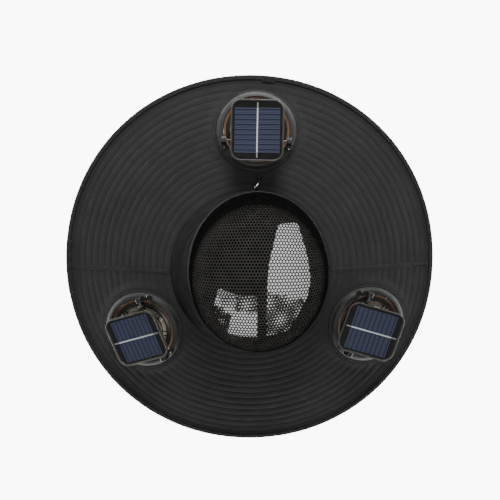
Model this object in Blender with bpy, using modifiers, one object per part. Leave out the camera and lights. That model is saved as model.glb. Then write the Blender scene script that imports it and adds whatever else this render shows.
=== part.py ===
"""Wide-brim sun hat with a net crown and three solar fan units, in metres, +Z up.

The origin is on the surface that the rim rests on, at the centre of the brim. +Y is the front.
"""
import math
from typing import NamedTuple

import bmesh
import bpy
from mathutils import Matrix, Vector

MM = 0.001
GAP = 0.3 * MM

# Brim and its edge tape
BRIM_WIDTH = 440 * MM
BRIM_LENGTH = 440 * MM
BRIM_SQUARENESS = 2.04
BRIM_CLOTH = 2.2 * MM
RIM_HEIGHT = 3.6 * MM
SEAM_HEIGHT = 37.5 * MM
TAPE_CLOTH = 1.0 * MM
TAPE_WIDTH = 6.0 * MM
LAP_CLOTH = 0.8 * MM
LAP_OVERHANG = 1.2 * MM
SIDE_SEAM_WIDTH = 4.6 * MM
SIDE_SEAM_CLOTH = 0.9 * MM

# Crown
CROWN_WIDTH = 185 * MM
CROWN_LENGTH = 182 * MM
CROWN_BACK_SHIFT = 4.5 * MM
CROWN_HEIGHT = 97 * MM
BAND_CLOTH = 1.6 * MM
NET_THICKNESS = 1.0 * MM
LINING_INSET = 2.6 * MM
LINING_CLOTH = 1.0 * MM
SWEATBAND_CLOTH = 1.5 * MM
SWEATBAND_WIDTH = 28 * MM

# Hook and thread loop at the front of the crown seam
HOOK_WIRE = 2.0 * MM
HOOK_SIDE = 5.6 * MM
HOOK_START_SIDE = 3.6 * MM
HOOK_ARCH = 5.0 * MM
LOOP_CORD = 1.2 * MM
LOOP_SHARE = 0.15
LOOP_CLEARANCE = 1.6 * MM

# Fan unit: sizes across the fan's axis are radii, heights are above the brim's cloth
FLANGE_RADIUS = 48.5 * MM
FLANGE_BORE = 38.2 * MM
FLANGE_CREST = 4.6 * MM
FLANGE_HEIGHT = 7.0 * MM
FLANGE_LIP = 1.4 * MM
NECK_WALL = 2.0 * MM
NECK_DEPTH = 6.0 * MM
CLAMP_WIDTH = 6.0 * MM
CLAMP_THICKNESS = 3.0 * MM
PRESS_SLACK = 0.05 * MM
FLAT_MARGIN = 1.5 * MM
FLAT_BLEND = 9.0 * MM
DUCT_WALL = 1.4 * MM
DUCT_HEIGHT = 6.2 * MM
LEDGE_WIDTH = 2.3 * MM
LEDGE_HEIGHT = 4.2 * MM
LEDGE_THICKNESS = 1.2 * MM
BASE_ARM_WIDTH = 3.4 * MM
BASE_THICKNESS = 1.8 * MM
MOTOR_RADIUS = 9.4 * MM
MOTOR_HEIGHT = 6.4 * MM
BASE_HUB_RADIUS = 11.0 * MM
RUNNING_GAP = 0.5 * MM
ROTOR_HUB_WALL = 1.5 * MM
ROTOR_TOP = 4.6 * MM
ROTOR_BOTTOM = -2.4 * MM
BLADE_COUNT = 5
BLADE_TIP_GAP = 1.0 * MM
BLADE_CHORD = 15.0 * MM
BLADE_PITCH = math.radians(30)
BLADE_THICKNESS = 1.2 * MM
GUARD_RING_WIDTH = 2.3 * MM
GUARD_DOME = 4.6 * MM
GUARD_RIB_COUNT = 8
GUARD_RIB_WIDTH = 1.4 * MM
GUARD_THICKNESS = 1.6 * MM
GUARD_HUB_RADIUS = 9.0 * MM
GUARD_MIDDLE_RADIUS = 21.0 * MM

# Panel hinge and panel: along the heading, measured from the fan's axis
HINGE_BACK = 15.0 * MM
HINGE_HEIGHT = 14.0 * MM
PIN_RADIUS = 1.4 * MM
PIN_CLEARANCE = 0.35 * MM
BRACKET_INNER = 34.6 * MM
BRACKET_WIDTH = 5.6 * MM
BRACKET_LENGTH = 8.4 * MM
BRACKET_OVER_PIN = 3.6 * MM
POCKET_LENGTH = 8.0 * MM
POCKET_DEPTH = 3.4 * MM
PANEL_LENGTH = 69.0 * MM
PANEL_WIDTH = 59.6 * MM
PANEL_CORNER = 12.0 * MM
PANEL_THICKNESS = 6.5 * MM
PANEL_FORWARD = 9.0 * MM
PANEL_ABOVE_PIN = 23.0 * MM
PANEL_LIP = 1.7 * MM
PANEL_RECESS = 1.7 * MM
ARM_THICKNESS = 2.6 * MM
ARM_LENGTH = 7.0 * MM
CELL_END_MARGIN = 9.25 * MM
CELL_SIDE_MARGIN = 4.3 * MM
CELL_LENGTH = PANEL_LENGTH - 2 * CELL_END_MARGIN
CELL_WIDTH = PANEL_WIDTH - 2 * CELL_SIDE_MARGIN
CELL_THICKNESS = 0.6 * MM
BUSBAR_END_MARGIN = 3.5 * MM
BUSBAR_LENGTH = PANEL_LENGTH - 2 * BUSBAR_END_MARGIN
BUSBAR_WIDTH = 2.1 * MM
BUSBAR_THICKNESS = 0.4 * MM

# Facets
CLOTH_SEGMENTS = 48
FAN_SEGMENTS = 20
SMALL_SEGMENTS = 16
CORNER_SEGMENTS = 3

# How far cutting shapes reach past what they cut
CUT_REACH = 20 * MM


class Section(NamedTuple):
    """One level of the crown, as shares of the crown's height, width and length."""

    height: float
    lean_x: float
    lean_y: float
    width: float
    length: float


CROWN_SECTIONS = (
    Section(0.00, 0.000, 0.000, 1.000, 1.000),
    Section(0.20, 0.046, 0.012, 0.856, 0.984),
    Section(0.42, 0.048, 0.012, 0.846, 0.970),
    Section(0.62, 0.046, 0.008, 0.812, 0.925),
    Section(0.79, 0.040, 0.004, 0.735, 0.835),
    Section(0.91, 0.032, 0.000, 0.590, 0.670),
    Section(0.975, 0.028, 0.000, 0.360, 0.420),
    Section(1.00, 0.026, 0.000, 0.000, 0.000),
)
BAND_TOP = CROWN_SECTIONS[1].height


class Corner(NamedTuple):
    """A corner of a window in the lining, as shares of half the crown's width and length."""

    across: float
    along: float


WINDOWS = {
    "right": (
        Corner(0.31, 0.64), Corner(0.54, 0.64), Corner(0.65, 0.26), Corner(0.69, -0.02),
        Corner(0.65, -0.24), Corner(0.57, -0.39), Corner(0.42, -0.65), Corner(0.175, -0.71),
        Corner(0.18, -0.11), Corner(0.20, 0.19),
    ),
    "left": (
        Corner(-0.38, -0.10), Corner(-0.18, -0.18), Corner(0.066, -0.18),
        Corner(0.067, -0.775), Corner(-0.29, -0.775), Corner(-0.44, -0.36),
    ),
}


class FanPlace(NamedTuple):
    """Where a fan unit stands on the brim, and how its panel is turned; angles in degrees."""

    name: str
    turn: float
    share: float
    heading: float
    panel_tilt: float


FANS = (
    FanPlace("front", 87.5, 0.522, 88.7, 6.0),
    FanPlace("left", 210.6, 0.427, 201.5, -9.5),
    FanPlace("right", 333.4, 0.494, 342.2, 8.0),
)


class Lap(NamedTuple):
    """An overlap of the edge tape, between two turns in degrees."""

    name: str
    first: float
    last: float


LAPS = (Lap("front", 82.6, 86.4), Lap("left", 173.0, 189.5))
SIDE_SEAMS = {"left": 181.2, "right": 359.6}

MATERIALS = {
    "brim_cloth": ((0.030, 0.030, 0.032), 0.85, 0.0),
    "tape_cloth": ((0.012, 0.012, 0.013), 0.80, 0.0),
    "net": ((0.045, 0.044, 0.042), 0.75, 0.0),
    "lining_cloth": ((0.010, 0.010, 0.011), 0.90, 0.0),
    "fan_plastic": ((0.035, 0.035, 0.034), 0.40, 0.0),
    "fan_bronze": ((0.30, 0.20, 0.13), 0.35, 0.0),
    "motor_metal": ((0.45, 0.45, 0.46), 0.35, 1.0),
    "panel_plastic": ((0.020, 0.020, 0.019), 0.25, 0.0),
    "solar_blue": ((0.045, 0.065, 0.17), 0.20, 0.0),
    "silver": ((0.80, 0.81, 0.83), 0.28, 1.0),
}


def clear_scene():
    """Removes every object that the file starts with."""
    for obj in list(bpy.data.objects):
        bpy.data.objects.remove(obj, do_unlink=True)


def new_collection(name):
    """Adds a collection to the scene."""
    collection = bpy.data.collections.new(name)
    bpy.context.scene.collection.children.link(collection)
    return collection


def material(name):
    """Makes, or finds, a material of the table."""
    found = bpy.data.materials.get(name)
    if found:
        return found
    colour, roughness, metallic = MATERIALS[name]
    made = bpy.data.materials.new(name)
    made.use_nodes = True
    shader = made.node_tree.nodes["Principled BSDF"]
    shader.inputs["Base Color"].default_value = (*colour, 1.0)
    shader.inputs["Roughness"].default_value = roughness
    shader.inputs["Metallic"].default_value = metallic
    return made


def add_object(name, data, finish, collection, frame=None):
    """Links an object, gives it its finish and hangs it on the empty that carries it."""
    obj = bpy.data.objects.new(name, data)
    collection.objects.link(obj)
    if finish:
        data.materials.append(material(finish))
    if frame:
        obj.parent = frame
    return obj


def mesh_of(bm, name):
    """Turns a bmesh into a mesh whose faces point outwards."""
    bmesh.ops.recalc_face_normals(bm, faces=bm.faces)
    mesh = bpy.data.meshes.new(name)
    bm.to_mesh(mesh)
    bm.free()
    mesh.shade_smooth()
    mesh.set_sharp_from_angle(angle=math.radians(35))
    return mesh


def loft(name, rings, around):
    """Lofts unlike sections: a closed tube where around is set, or else closed at both ends."""
    bm = bmesh.new()
    rows = [[bm.verts.new(point) for point in ring] for ring in rings]
    following = rows[1:] + rows[:1] if around else rows[1:]
    for low, high in zip(rows, following):
        count = max(len(low), len(high))
        for i in range(count):
            j = (i + 1) % count
            if len(high) == 1:
                bm.faces.new((low[i], low[j], high[0]))
            elif len(low) == 1:
                bm.faces.new((low[0], high[j], high[i]))
            else:
                bm.faces.new((low[i], low[j], high[j], high[i]))
    if not around:
        for end in (rows[0], rows[-1]):
            if len(end) > 2:
                bm.faces.new(end)
    return mesh_of(bm, name)


def turned(name, profile, segments, finish, collection, frame=None):
    """Turns a closed profile of (radius, height) points that runs down its outer side."""
    mesh = bpy.data.meshes.new(name)
    edges = [(i, (i + 1) % len(profile)) for i in range(len(profile))]
    mesh.from_pydata([(radius, 0.0, height) for radius, height in profile], edges, [])
    obj = add_object(name, mesh, finish, collection, frame)
    screw = obj.modifiers.new("turn", "SCREW")
    screw.angle = math.tau
    screw.steps = segments
    screw.render_steps = segments
    screw.use_merge_vertices = True
    screw.merge_threshold = 0.00001
    screw.use_smooth_shade = False
    return obj


def solid_turned(name, profile, segments, finish, collection, frame=None):
    """Turns an open profile whose first and last points lie on the axis."""
    obj = turned(name, profile, segments, finish, collection, frame)
    mesh = bpy.data.meshes.new(name)
    edges = [(i, i + 1) for i in range(len(profile) - 1)]
    mesh.from_pydata([(radius, 0.0, height) for radius, height in profile], edges, [])
    mesh.materials.append(material(finish))
    obj.data = mesh
    return obj


def box_mesh(name, low, high):
    """A box between two corners."""
    bm = bmesh.new()
    bmesh.ops.create_cube(bm, size=1.0)
    size = [b - a for a, b in zip(low, high)]
    middle = [(a + b) / 2 for a, b in zip(low, high)]
    bmesh.ops.scale(bm, vec=size, verts=bm.verts)
    bmesh.ops.translate(bm, vec=middle, verts=bm.verts)
    return mesh_of(bm, name)


def rounded_outline(length, width, corner):
    """Points of a rounded rectangle, anticlockwise."""
    points = []
    for quarter in range(4):
        turn = quarter * math.pi / 2
        middle_x = (length / 2 - corner) * (1 if quarter in (0, 3) else -1)
        middle_y = (width / 2 - corner) * (1 if quarter in (0, 1) else -1)
        for step in range(CORNER_SEGMENTS + 1):
            angle = turn + step * math.pi / 2 / CORNER_SEGMENTS
            points.append((middle_x + corner * math.cos(angle), middle_y + corner * math.sin(angle)))
    return points


def prism_mesh(name, outline, bottom, top):
    """A flat outline raised between two heights."""
    rings = [[(x, y, height) for x, y in outline] for height in (bottom, top)]
    return loft(name, rings, around=False)


def boolean(target, tool, operation):
    """Cuts or joins a helper object, which stays hidden in the cutters' collection."""
    tool.hide_render = True
    tool.display_type = "WIRE"
    modifier = target.modifiers.new(tool.name, "BOOLEAN")
    modifier.operation = operation
    modifier.object = tool
    modifier.solver = "EXACT"


def turns():
    """The turns, in radians, of the cloth's facets."""
    return [math.tau * i / CLOTH_SEGMENTS for i in range(CLOTH_SEGMENTS)]


def oval_point(width, length, turn, power=2.0):
    """A point of a superellipse round the origin."""
    x = math.copysign(abs(math.cos(turn)) ** (2 / power), math.cos(turn))
    y = math.copysign(abs(math.sin(turn)) ** (2 / power), math.sin(turn))
    return Vector((x * width / 2, y * length / 2))


def crown_level(share):
    """The crown's section at a share of its height, between the table's rows."""
    for low, high in zip(CROWN_SECTIONS, CROWN_SECTIONS[1:]):
        if share <= high.height:
            mix = (share - low.height) / (high.height - low.height)
            return Section(*(a + (b - a) * mix for a, b in zip(low, high)))
    return CROWN_SECTIONS[-1]


def crown_point(turn, share, inset):
    """A point of the crown's outer face, or of a face a given distance inside it."""
    level = crown_level(max(share, 0.0))
    flat = oval_point(CROWN_WIDTH * level.width - 2 * inset, CROWN_LENGTH * level.length - 2 * inset, turn)
    x = flat.x + level.lean_x * CROWN_WIDTH
    y = flat.y + level.lean_y * CROWN_LENGTH - CROWN_BACK_SHIFT
    return Vector((x, y, SEAM_HEIGHT + share * (CROWN_HEIGHT - inset)))


def crown_ring(share, inset):
    """A ring of the crown, or its single top point."""
    if share >= 1.0:
        top = crown_point(0.0, 1.0, 0.0)
        level = CROWN_SECTIONS[-1]
        x = level.lean_x * CROWN_WIDTH
        return [Vector((x, -CROWN_BACK_SHIFT, top.z - inset))]
    return [crown_point(turn, share, inset) for turn in turns()]


def rim_point(turn, inset):
    """A point of the brim's outline, a given distance inside the hat's edge."""
    return oval_point(BRIM_WIDTH - 2 * inset, BRIM_LENGTH - 2 * inset, turn, BRIM_SQUARENESS)


def cone_point(turn, share):
    """A point of the brim's upper face before it is flattened under the fans."""
    inner = crown_point(turn, 0.0, -GAP)
    outer = rim_point(turn, TAPE_CLOTH + GAP)
    flat = inner.to_2d().lerp(outer, share)
    return Vector((flat.x, flat.y, SEAM_HEIGHT + (RIM_HEIGHT - SEAM_HEIGHT) * share))


def fan_matrix(place):
    """The frame of a fan unit: X along the heading, Z square to the brim's upper face."""
    turn = math.radians(place.turn)
    step = 0.01
    middle = cone_point(turn, place.share)
    outward = cone_point(turn, place.share + step) - middle
    sideways = cone_point(turn + step, place.share) - middle
    normal = outward.cross(sideways).normalized()
    heading = math.radians(place.heading)
    ahead = Vector((math.cos(heading), math.sin(heading), 0.0))
    ahead = (ahead - normal * ahead.dot(normal)).normalized()
    side = normal.cross(ahead)
    frame = Matrix((ahead, side, normal)).transposed().to_4x4()
    return Matrix.Translation(middle) @ frame


def brim_point(turn, share):
    """A point of the brim's upper face, flat under each fan's flange."""
    point = cone_point(turn, share)
    for place in FANS:
        frame = fan_matrix(place)
        middle = frame.translation
        normal = frame.col[2].to_3d()
        distance = (point - middle).length
        fade = min(max((distance - FLANGE_RADIUS - FLAT_MARGIN) / FLAT_BLEND, 0.0), 1.0)
        weight = 1 - fade * fade * (3 - 2 * fade)
        offset = point - middle
        plane = middle.z - (normal.x * offset.x + normal.y * offset.y) / normal.z
        point.z += (plane - point.z) * weight
    return point


def brim_slope():
    """How much the brim rises for each metre towards the crown, at its outer edge."""
    turn = 0.0
    run = (cone_point(turn, 1.0) - cone_point(turn, 0.0)).to_2d().length
    return (SEAM_HEIGHT - RIM_HEIGHT) / run


def brim_drop():
    """The brim's thickness measured straight down."""
    return BRIM_CLOTH * math.sqrt(1 + brim_slope() ** 2)


def make_brim(parts, cutters, frames):
    """The quilted cloth brim, with a hole for each fan's neck."""
    shares = (0.0, 0.3, 0.55, 0.8, 1.0)
    drop = Vector((0.0, 0.0, brim_drop()))
    upper = [[brim_point(turn, share) for turn in turns()] for share in shares]
    lower = [[point - drop for point in ring] for ring in reversed(upper)]
    brim = add_object("brim", loft("brim", upper + lower, around=True), "brim_cloth", parts)
    reach = CUT_REACH
    hole = FLANGE_BORE + NECK_WALL + GAP
    pressed = FLANGE_RADIUS + GAP
    above = PRESS_SLACK
    below = -BRIM_CLOTH - PRESS_SLACK
    profile = (
        (0.0, reach), (pressed, reach), (pressed, above), (hole, above), (hole, below), (pressed, below),
        (pressed, -reach), (0.0, -reach),
    )
    for place in FANS:
        tool = solid_turned(
            f"brim_hole_{place.name}", profile, FAN_SEGMENTS, "brim_cloth", cutters, frames[place.name]
        )
        boolean(brim, tool, "DIFFERENCE")


def make_tape(parts):
    """The tape folded over the brim's edge, flat where it rests."""
    slope = brim_slope()

    def cloth_top(inset):
        return RIM_HEIGHT + (inset - TAPE_CLOTH - GAP) * slope

    under = brim_drop() + GAP
    profile = (
        (0.0, 0.0),
        (0.0, cloth_top(0.0) + GAP + TAPE_CLOTH),
        (TAPE_WIDTH, cloth_top(TAPE_WIDTH) + GAP + TAPE_CLOTH),
        (TAPE_WIDTH, cloth_top(TAPE_WIDTH) + GAP),
        (TAPE_CLOTH, cloth_top(TAPE_CLOTH) + GAP),
        (TAPE_CLOTH, cloth_top(TAPE_CLOTH) - under),
        (TAPE_WIDTH, cloth_top(TAPE_WIDTH) - under),
        (TAPE_WIDTH, 0.0),
    )
    rings = [[(*rim_point(turn, inset), height) for turn in turns()] for inset, height in profile]
    add_object("brim_tape", loft("brim_tape", rings, around=True), "tape_cloth", parts)
    for lap in LAPS:
        steps = max(2, round((lap.last - lap.first) * CLOTH_SEGMENTS / 360))
        rings = []
        for step in range(steps + 1):
            turn = math.radians(lap.first + (lap.last - lap.first) * step / steps)
            ring = []
            for inset, raised in ((GAP, 0.0), (GAP, 1.0), (TAPE_WIDTH + LAP_OVERHANG, 1.0), (TAPE_WIDTH, 0.0)):
                height = cloth_top(inset) + TAPE_CLOTH + 2 * GAP + raised * LAP_CLOTH
                ring.append((*rim_point(turn, inset), height))
            rings.append(ring)
        name = f"tape_lap_{lap.name}"
        add_object(name, loft(name, rings, around=False), "tape_cloth", parts)


def make_side_seams(parts):
    """The two raised seams that join the brim's halves."""
    run = BRIM_WIDTH / 2 - CROWN_WIDTH / 2
    last = 1 - (TAPE_WIDTH - TAPE_CLOTH + GAP) / run
    for side, turn in SIDE_SEAMS.items():
        rings = []
        for share in (0.01, last):
            middle = brim_point(math.radians(turn), share)
            across = brim_point(math.radians(turn + 1), share) - middle
            across = Vector((across.x, across.y, 0.0)).normalized() * SIDE_SEAM_WIDTH / 2
            up = Vector((0.0, 0.0, 1.0))
            base = middle + up * GAP
            top = base + up * SIDE_SEAM_CLOTH
            rings.append([base - across, base + across, top + across * 0.8, top - across * 0.8])
        name = f"side_seam_{side}"
        add_object(name, loft(name, rings, around=False), "brim_cloth", parts)


def make_crown(parts, cutters):
    """The cloth band, the net dome on it, the lining with its two windows and the sweatband."""
    below = -brim_drop() / CROWN_HEIGHT
    band = [crown_ring(share, 0.0) for share in (below, 0.0, BAND_TOP)]
    inner = [crown_ring(share, BAND_CLOTH) for share in (BAND_TOP, 0.0, below)]
    add_object("crown_band", loft("crown_band", band + inner, around=True), "brim_cloth", parts)

    levels = [section.height for section in CROWN_SECTIONS[2:]]
    net_foot = BAND_TOP + GAP / CROWN_HEIGHT
    outer = [crown_ring(share, 0.0) for share in reversed([net_foot] + levels)]
    inner = [crown_ring(share, NET_THICKNESS) for share in [net_foot] + levels]
    add_object("crown_net", loft("crown_net", outer + inner, around=False), "net", parts)

    sweat_inset = BAND_CLOTH + 1.5 * GAP
    sweat_top = SWEATBAND_WIDTH / CROWN_HEIGHT
    sweat_levels = (below, 0.0, BAND_TOP, sweat_top)
    outer = [crown_ring(share, sweat_inset) for share in sweat_levels]
    inner = [crown_ring(share, sweat_inset + SWEATBAND_CLOTH) for share in reversed(sweat_levels)]
    add_object("sweatband", loft("sweatband", outer + inner, around=True), "lining_cloth", parts)

    lining_foot = sweat_top + 1.5 * GAP / CROWN_HEIGHT
    lining_levels = [lining_foot] + levels[1:]
    outer = [crown_ring(share, LINING_INSET) for share in reversed(lining_levels)]
    inner = [crown_ring(share, LINING_INSET + LINING_CLOTH) for share in lining_levels]
    lining = add_object("crown_lining", loft("crown_lining", outer + inner, around=False), "lining_cloth", parts)
    for side, corners in WINDOWS.items():
        outline = [
            (corner.across * CROWN_WIDTH / 2, corner.along * CROWN_LENGTH / 2) for corner in reversed(corners)
        ]
        mesh = prism_mesh("window", outline, SEAM_HEIGHT + SWEATBAND_WIDTH * 1.3, SEAM_HEIGHT + CROWN_HEIGHT * 1.2)
        boolean(lining, add_object(f"window_{side}", mesh, None, cutters), "DIFFERENCE")


def curve_object(name, points, radius, finish, collection, cyclic=False):
    """A round wire through the given points."""
    curve = bpy.data.curves.new(name, "CURVE")
    curve.dimensions = "3D"
    curve.bevel_depth = radius
    curve.bevel_resolution = 2
    curve.render_resolution_u = 0
    curve.use_fill_caps = not cyclic
    spline = curve.splines.new("POLY")
    spline.points.add(len(points) - 1)
    for target, point in zip(spline.points, points):
        target.co = (*point, 1.0)
    spline.use_cyclic_u = cyclic
    return add_object(name, curve, finish, collection)


def front_point(side, share):
    """A point of the brim's upper face in front of the crown, a given distance to the right."""
    middle = cone_point(math.pi / 2, share)
    turn = math.pi / 2 - math.asin(side / (middle.y + CROWN_BACK_SHIFT * (1 - share)))
    return cone_point(turn, share)


def make_hook(parts):
    """The bent wire at the front of the crown seam and the thread loop between it and the flange."""
    run = (cone_point(math.pi / 2, 1.0) - cone_point(math.pi / 2, 0.0)).length
    room = run * FANS[0].share - FLANGE_RADIUS
    loop_radius = room * LOOP_SHARE
    loop_ahead = room - LOOP_CLEARANCE - LOOP_CORD / 2 - loop_radius
    clear = HOOK_WIRE / 2 + GAP
    reach = loop_ahead - loop_radius - LOOP_CORD / 2 - 2 * GAP - HOOK_WIRE / 2 - clear
    points = []
    steps = 8
    for step in range(steps + 1):
        share = step / steps
        point = front_point(HOOK_START_SIDE + HOOK_SIDE * share, (clear + reach * share) / run)
        point.z += clear + GAP + HOOK_ARCH * math.sin(math.pi * share)
        points.append(point)
    curve_object("hook_wire", points, HOOK_WIRE / 2, "silver", parts)
    side = HOOK_START_SIDE + HOOK_SIDE
    ring = []
    for step in range(12):
        angle = math.tau * step / 12
        ahead = loop_ahead + loop_radius * math.sin(angle)
        point = front_point(side + loop_radius * math.cos(angle), ahead / run)
        point.z += LOOP_CORD / 2 + GAP
        ring.append(point)
    curve_object("hook_loop", ring, LOOP_CORD / 2, "tape_cloth", parts, cyclic=True)


def make_flange(place, frame, parts, cutters):
    """The moulded ring on the cloth, with its neck and two pockets, and the ring that clamps it below."""
    crest = FLANGE_BORE + FLANGE_CREST
    neck = FLANGE_BORE + NECK_WALL
    shoulder = FLANGE_RADIUS - FLANGE_LIP
    profile = (
        (FLANGE_RADIUS, FLANGE_LIP), (FLANGE_RADIUS, GAP), (neck, GAP), (neck, -NECK_DEPTH),
        (FLANGE_BORE, -NECK_DEPTH), (FLANGE_BORE, FLANGE_HEIGHT), (crest, FLANGE_HEIGHT),
        (shoulder, 2 * FLANGE_LIP),
    )
    flange = turned(f"flange_{place.name}", profile, FAN_SEGMENTS, "fan_plastic", parts, frame)
    start = -HINGE_BACK - BRACKET_LENGTH / 2 - 1.0 * MM
    for side, sign in (("a", 1), ("b", -1)):
        near = sign * (BRACKET_INNER - 4 * MM)
        far = sign * (BRACKET_INNER + BRACKET_WIDTH - 2 * MM)
        low = (start - POCKET_LENGTH, min(near, far), FLANGE_HEIGHT - POCKET_DEPTH)
        high = (start, max(near, far), FLANGE_HEIGHT + 2 * MM)
        tool = add_object(f"pocket_{place.name}_{side}", box_mesh("pocket", low, high), None, cutters, frame)
        boolean(flange, tool, "DIFFERENCE")
    inner = neck + GAP
    top = -BRIM_CLOTH - GAP
    profile = (
        (inner + CLAMP_WIDTH, top), (inner + CLAMP_WIDTH, top - CLAMP_THICKNESS * 0.6),
        (inner + CLAMP_WIDTH * 0.7, top - CLAMP_THICKNESS), (inner, top - CLAMP_THICKNESS), (inner, top),
    )
    turned(f"clamp_ring_{place.name}", profile, FAN_SEGMENTS, "fan_plastic", parts, frame)


def make_duct(place, frame, parts, cutters):
    """The bronze duct in the flange's bore, with the arms that carry the motor."""
    outer = FLANGE_BORE - GAP
    inner = outer - DUCT_WALL
    ledge = inner - LEDGE_WIDTH
    bottom = -NECK_DEPTH
    profile = (
        (outer, DUCT_HEIGHT), (outer, bottom), (inner, bottom), (inner, LEDGE_HEIGHT - 2 * LEDGE_THICKNESS),
        (ledge, LEDGE_HEIGHT - LEDGE_THICKNESS), (ledge, LEDGE_HEIGHT), (inner, LEDGE_HEIGHT), (inner, DUCT_HEIGHT),
    )
    duct = turned(f"duct_{place.name}", profile, FAN_SEGMENTS, "fan_bronze", parts, frame)
    half = BASE_ARM_WIDTH / 2
    reach = inner + DUCT_WALL / 2
    low = bottom + 0.2 * MM
    high = bottom + BASE_THICKNESS - 0.2 * MM
    for name, corner in (("x", (reach, half)), ("y", (half, reach))):
        mesh = box_mesh("arm", (-corner[0], -corner[1], low), (corner[0], corner[1], high))
        boolean(duct, add_object(f"duct_arm_{place.name}_{name}", mesh, None, cutters, frame), "UNION")
    cup = bmesh.new()
    bmesh.ops.create_cone(
        cup, cap_ends=True, segments=SMALL_SEGMENTS, radius1=BASE_HUB_RADIUS, radius2=BASE_HUB_RADIUS,
        depth=BASE_THICKNESS, matrix=Matrix.Translation((0.0, 0.0, bottom + BASE_THICKNESS / 2)),
    )
    boolean(duct, add_object(f"duct_hub_{place.name}", mesh_of(cup, "hub"), None, cutters, frame), "UNION")
    foot = bottom + BASE_THICKNESS + GAP
    profile = ((0.0, foot + MOTOR_HEIGHT), (MOTOR_RADIUS, foot + MOTOR_HEIGHT), (MOTOR_RADIUS, foot), (0.0, foot))
    solid_turned(f"motor_{place.name}", profile, SMALL_SEGMENTS, "motor_metal", parts, frame)


def make_rotor(place, frame, parts, cutters):
    """The hub over the motor and its blades, which spin about the fan's axis."""
    bore = MOTOR_RADIUS + RUNNING_GAP
    outer = bore + ROTOR_HUB_WALL
    ceiling = -NECK_DEPTH + BASE_THICKNESS + GAP + MOTOR_HEIGHT + RUNNING_GAP
    profile = (
        (0.0, ROTOR_TOP), (outer, ROTOR_TOP), (outer, ROTOR_BOTTOM), (bore, ROTOR_BOTTOM),
        (bore, ceiling), (0.0, ceiling),
    )
    rotor = solid_turned(f"rotor_{place.name}", profile, SMALL_SEGMENTS, "fan_bronze", parts, frame)
    tip = FLANGE_BORE - GAP - DUCT_WALL - LEDGE_WIDTH - BLADE_TIP_GAP
    root = outer - ROTOR_HUB_WALL / 2
    middle = (ROTOR_TOP + ROTOR_BOTTOM) / 2
    reach = math.sqrt(tip**2 - (BLADE_CHORD / 2) ** 2)
    for index in range(BLADE_COUNT):
        rings = []
        for radius, half, pitch in ((root, BLADE_CHORD * 0.3, BLADE_PITCH), (reach, BLADE_CHORD / 2, BLADE_PITCH / 2)):
            along = Vector((0.0, math.cos(pitch), math.sin(pitch))) * half
            thick = Vector((0.0, -math.sin(pitch), math.cos(pitch))) * BLADE_THICKNESS / 2
            at = Vector((radius, 0.0, middle))
            rings.append([at - along - thick, at + along - thick, at + along + thick, at - along + thick])
        turn = Matrix.Rotation(math.tau * index / BLADE_COUNT, 4, "Z")
        rings = [[turn @ point for point in ring] for ring in rings]
        mesh = loft("blade", rings, around=False)
        boolean(rotor, add_object(f"blade_{place.name}_{index}", mesh, None, cutters, frame), "UNION")


def make_guard(place, frame, parts):
    """The ribbed guard over the rotor, seated on the duct's ledge."""
    outer = FLANGE_BORE - GAP - DUCT_WALL - 2 * GAP
    half = GUARD_RIB_WIDTH / 2
    radii = (outer, outer - GUARD_RING_WIDTH, GUARD_MIDDLE_RADIUS + half, GUARD_MIDDLE_RADIUS - half, GUARD_HUB_RADIUS)
    foot = LEDGE_HEIGHT + GAP + GUARD_THICKNESS
    bm = bmesh.new()
    rows = []
    for radius in radii:
        height = foot if radius > radii[2] else foot + GUARD_DOME * (radii[1] - radius) / radii[1]
        rib = math.asin(half / radius)
        row = []
        for index in range(GUARD_RIB_COUNT):
            middle = math.tau * (index + 0.5) / GUARD_RIB_COUNT
            for turn in (middle - rib, middle + rib, middle + math.pi / GUARD_RIB_COUNT):
                row.append(bm.verts.new((radius * math.cos(turn), radius * math.sin(turn), height)))
        rows.append(row)
    count = len(rows[0])
    for band, (wide, narrow) in enumerate(zip(rows, rows[1:])):
        for i in range(count):
            is_rib = i % 3 == 0
            if band % 2 == 0 or is_rib:
                j = (i + 1) % count
                bm.faces.new((wide[i], wide[j], narrow[j], narrow[i]))
    bm.faces.new(rows[-1])
    mesh = mesh_of(bm, "guard")
    guard = add_object(f"guard_{place.name}", mesh, "fan_plastic", parts, frame)
    wall = guard.modifiers.new("wall", "SOLIDIFY")
    wall.thickness = GUARD_THICKNESS
    wall.offset = -1.0


def pin_mesh(name, radius, first, last):
    """A round bar along Y between two places."""
    bm = bmesh.new()
    turn = Matrix.Rotation(math.pi / 2, 4, "X")
    place = Matrix.Translation((0.0, (first + last) / 2, 0.0))
    bmesh.ops.create_cone(
        bm, cap_ends=True, segments=12, radius1=radius, radius2=radius, depth=abs(last - first), matrix=place @ turn
    )
    return mesh_of(bm, name)


def make_brackets(place, frame, parts, cutters):
    """The two posts on the flange's crest that the panel's pins turn in."""
    bottom = FLANGE_HEIGHT + GAP
    for side, sign in (("a", 1), ("b", -1)):
        near = sign * BRACKET_INNER
        far = sign * (BRACKET_INNER + BRACKET_WIDTH)
        low = (-HINGE_BACK - BRACKET_LENGTH / 2, min(near, far), bottom)
        high = (-HINGE_BACK + BRACKET_LENGTH / 2, max(near, far), HINGE_HEIGHT + BRACKET_OVER_PIN)
        bracket = add_object(
            f"bracket_{place.name}_{side}", box_mesh("bracket", low, high), "fan_plastic", parts, frame
        )
        reach = BRACKET_INNER + BRACKET_WIDTH + 2 * MM
        mesh = pin_mesh("bore", PIN_RADIUS + PIN_CLEARANCE, sign * (BRACKET_INNER - 2 * MM), sign * reach)
        tool = add_object(f"bracket_bore_{place.name}_{side}", mesh, None, cutters, frame)
        tool.location = (-HINGE_BACK, 0.0, HINGE_HEIGHT)
        boolean(bracket, tool, "DIFFERENCE")


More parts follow.
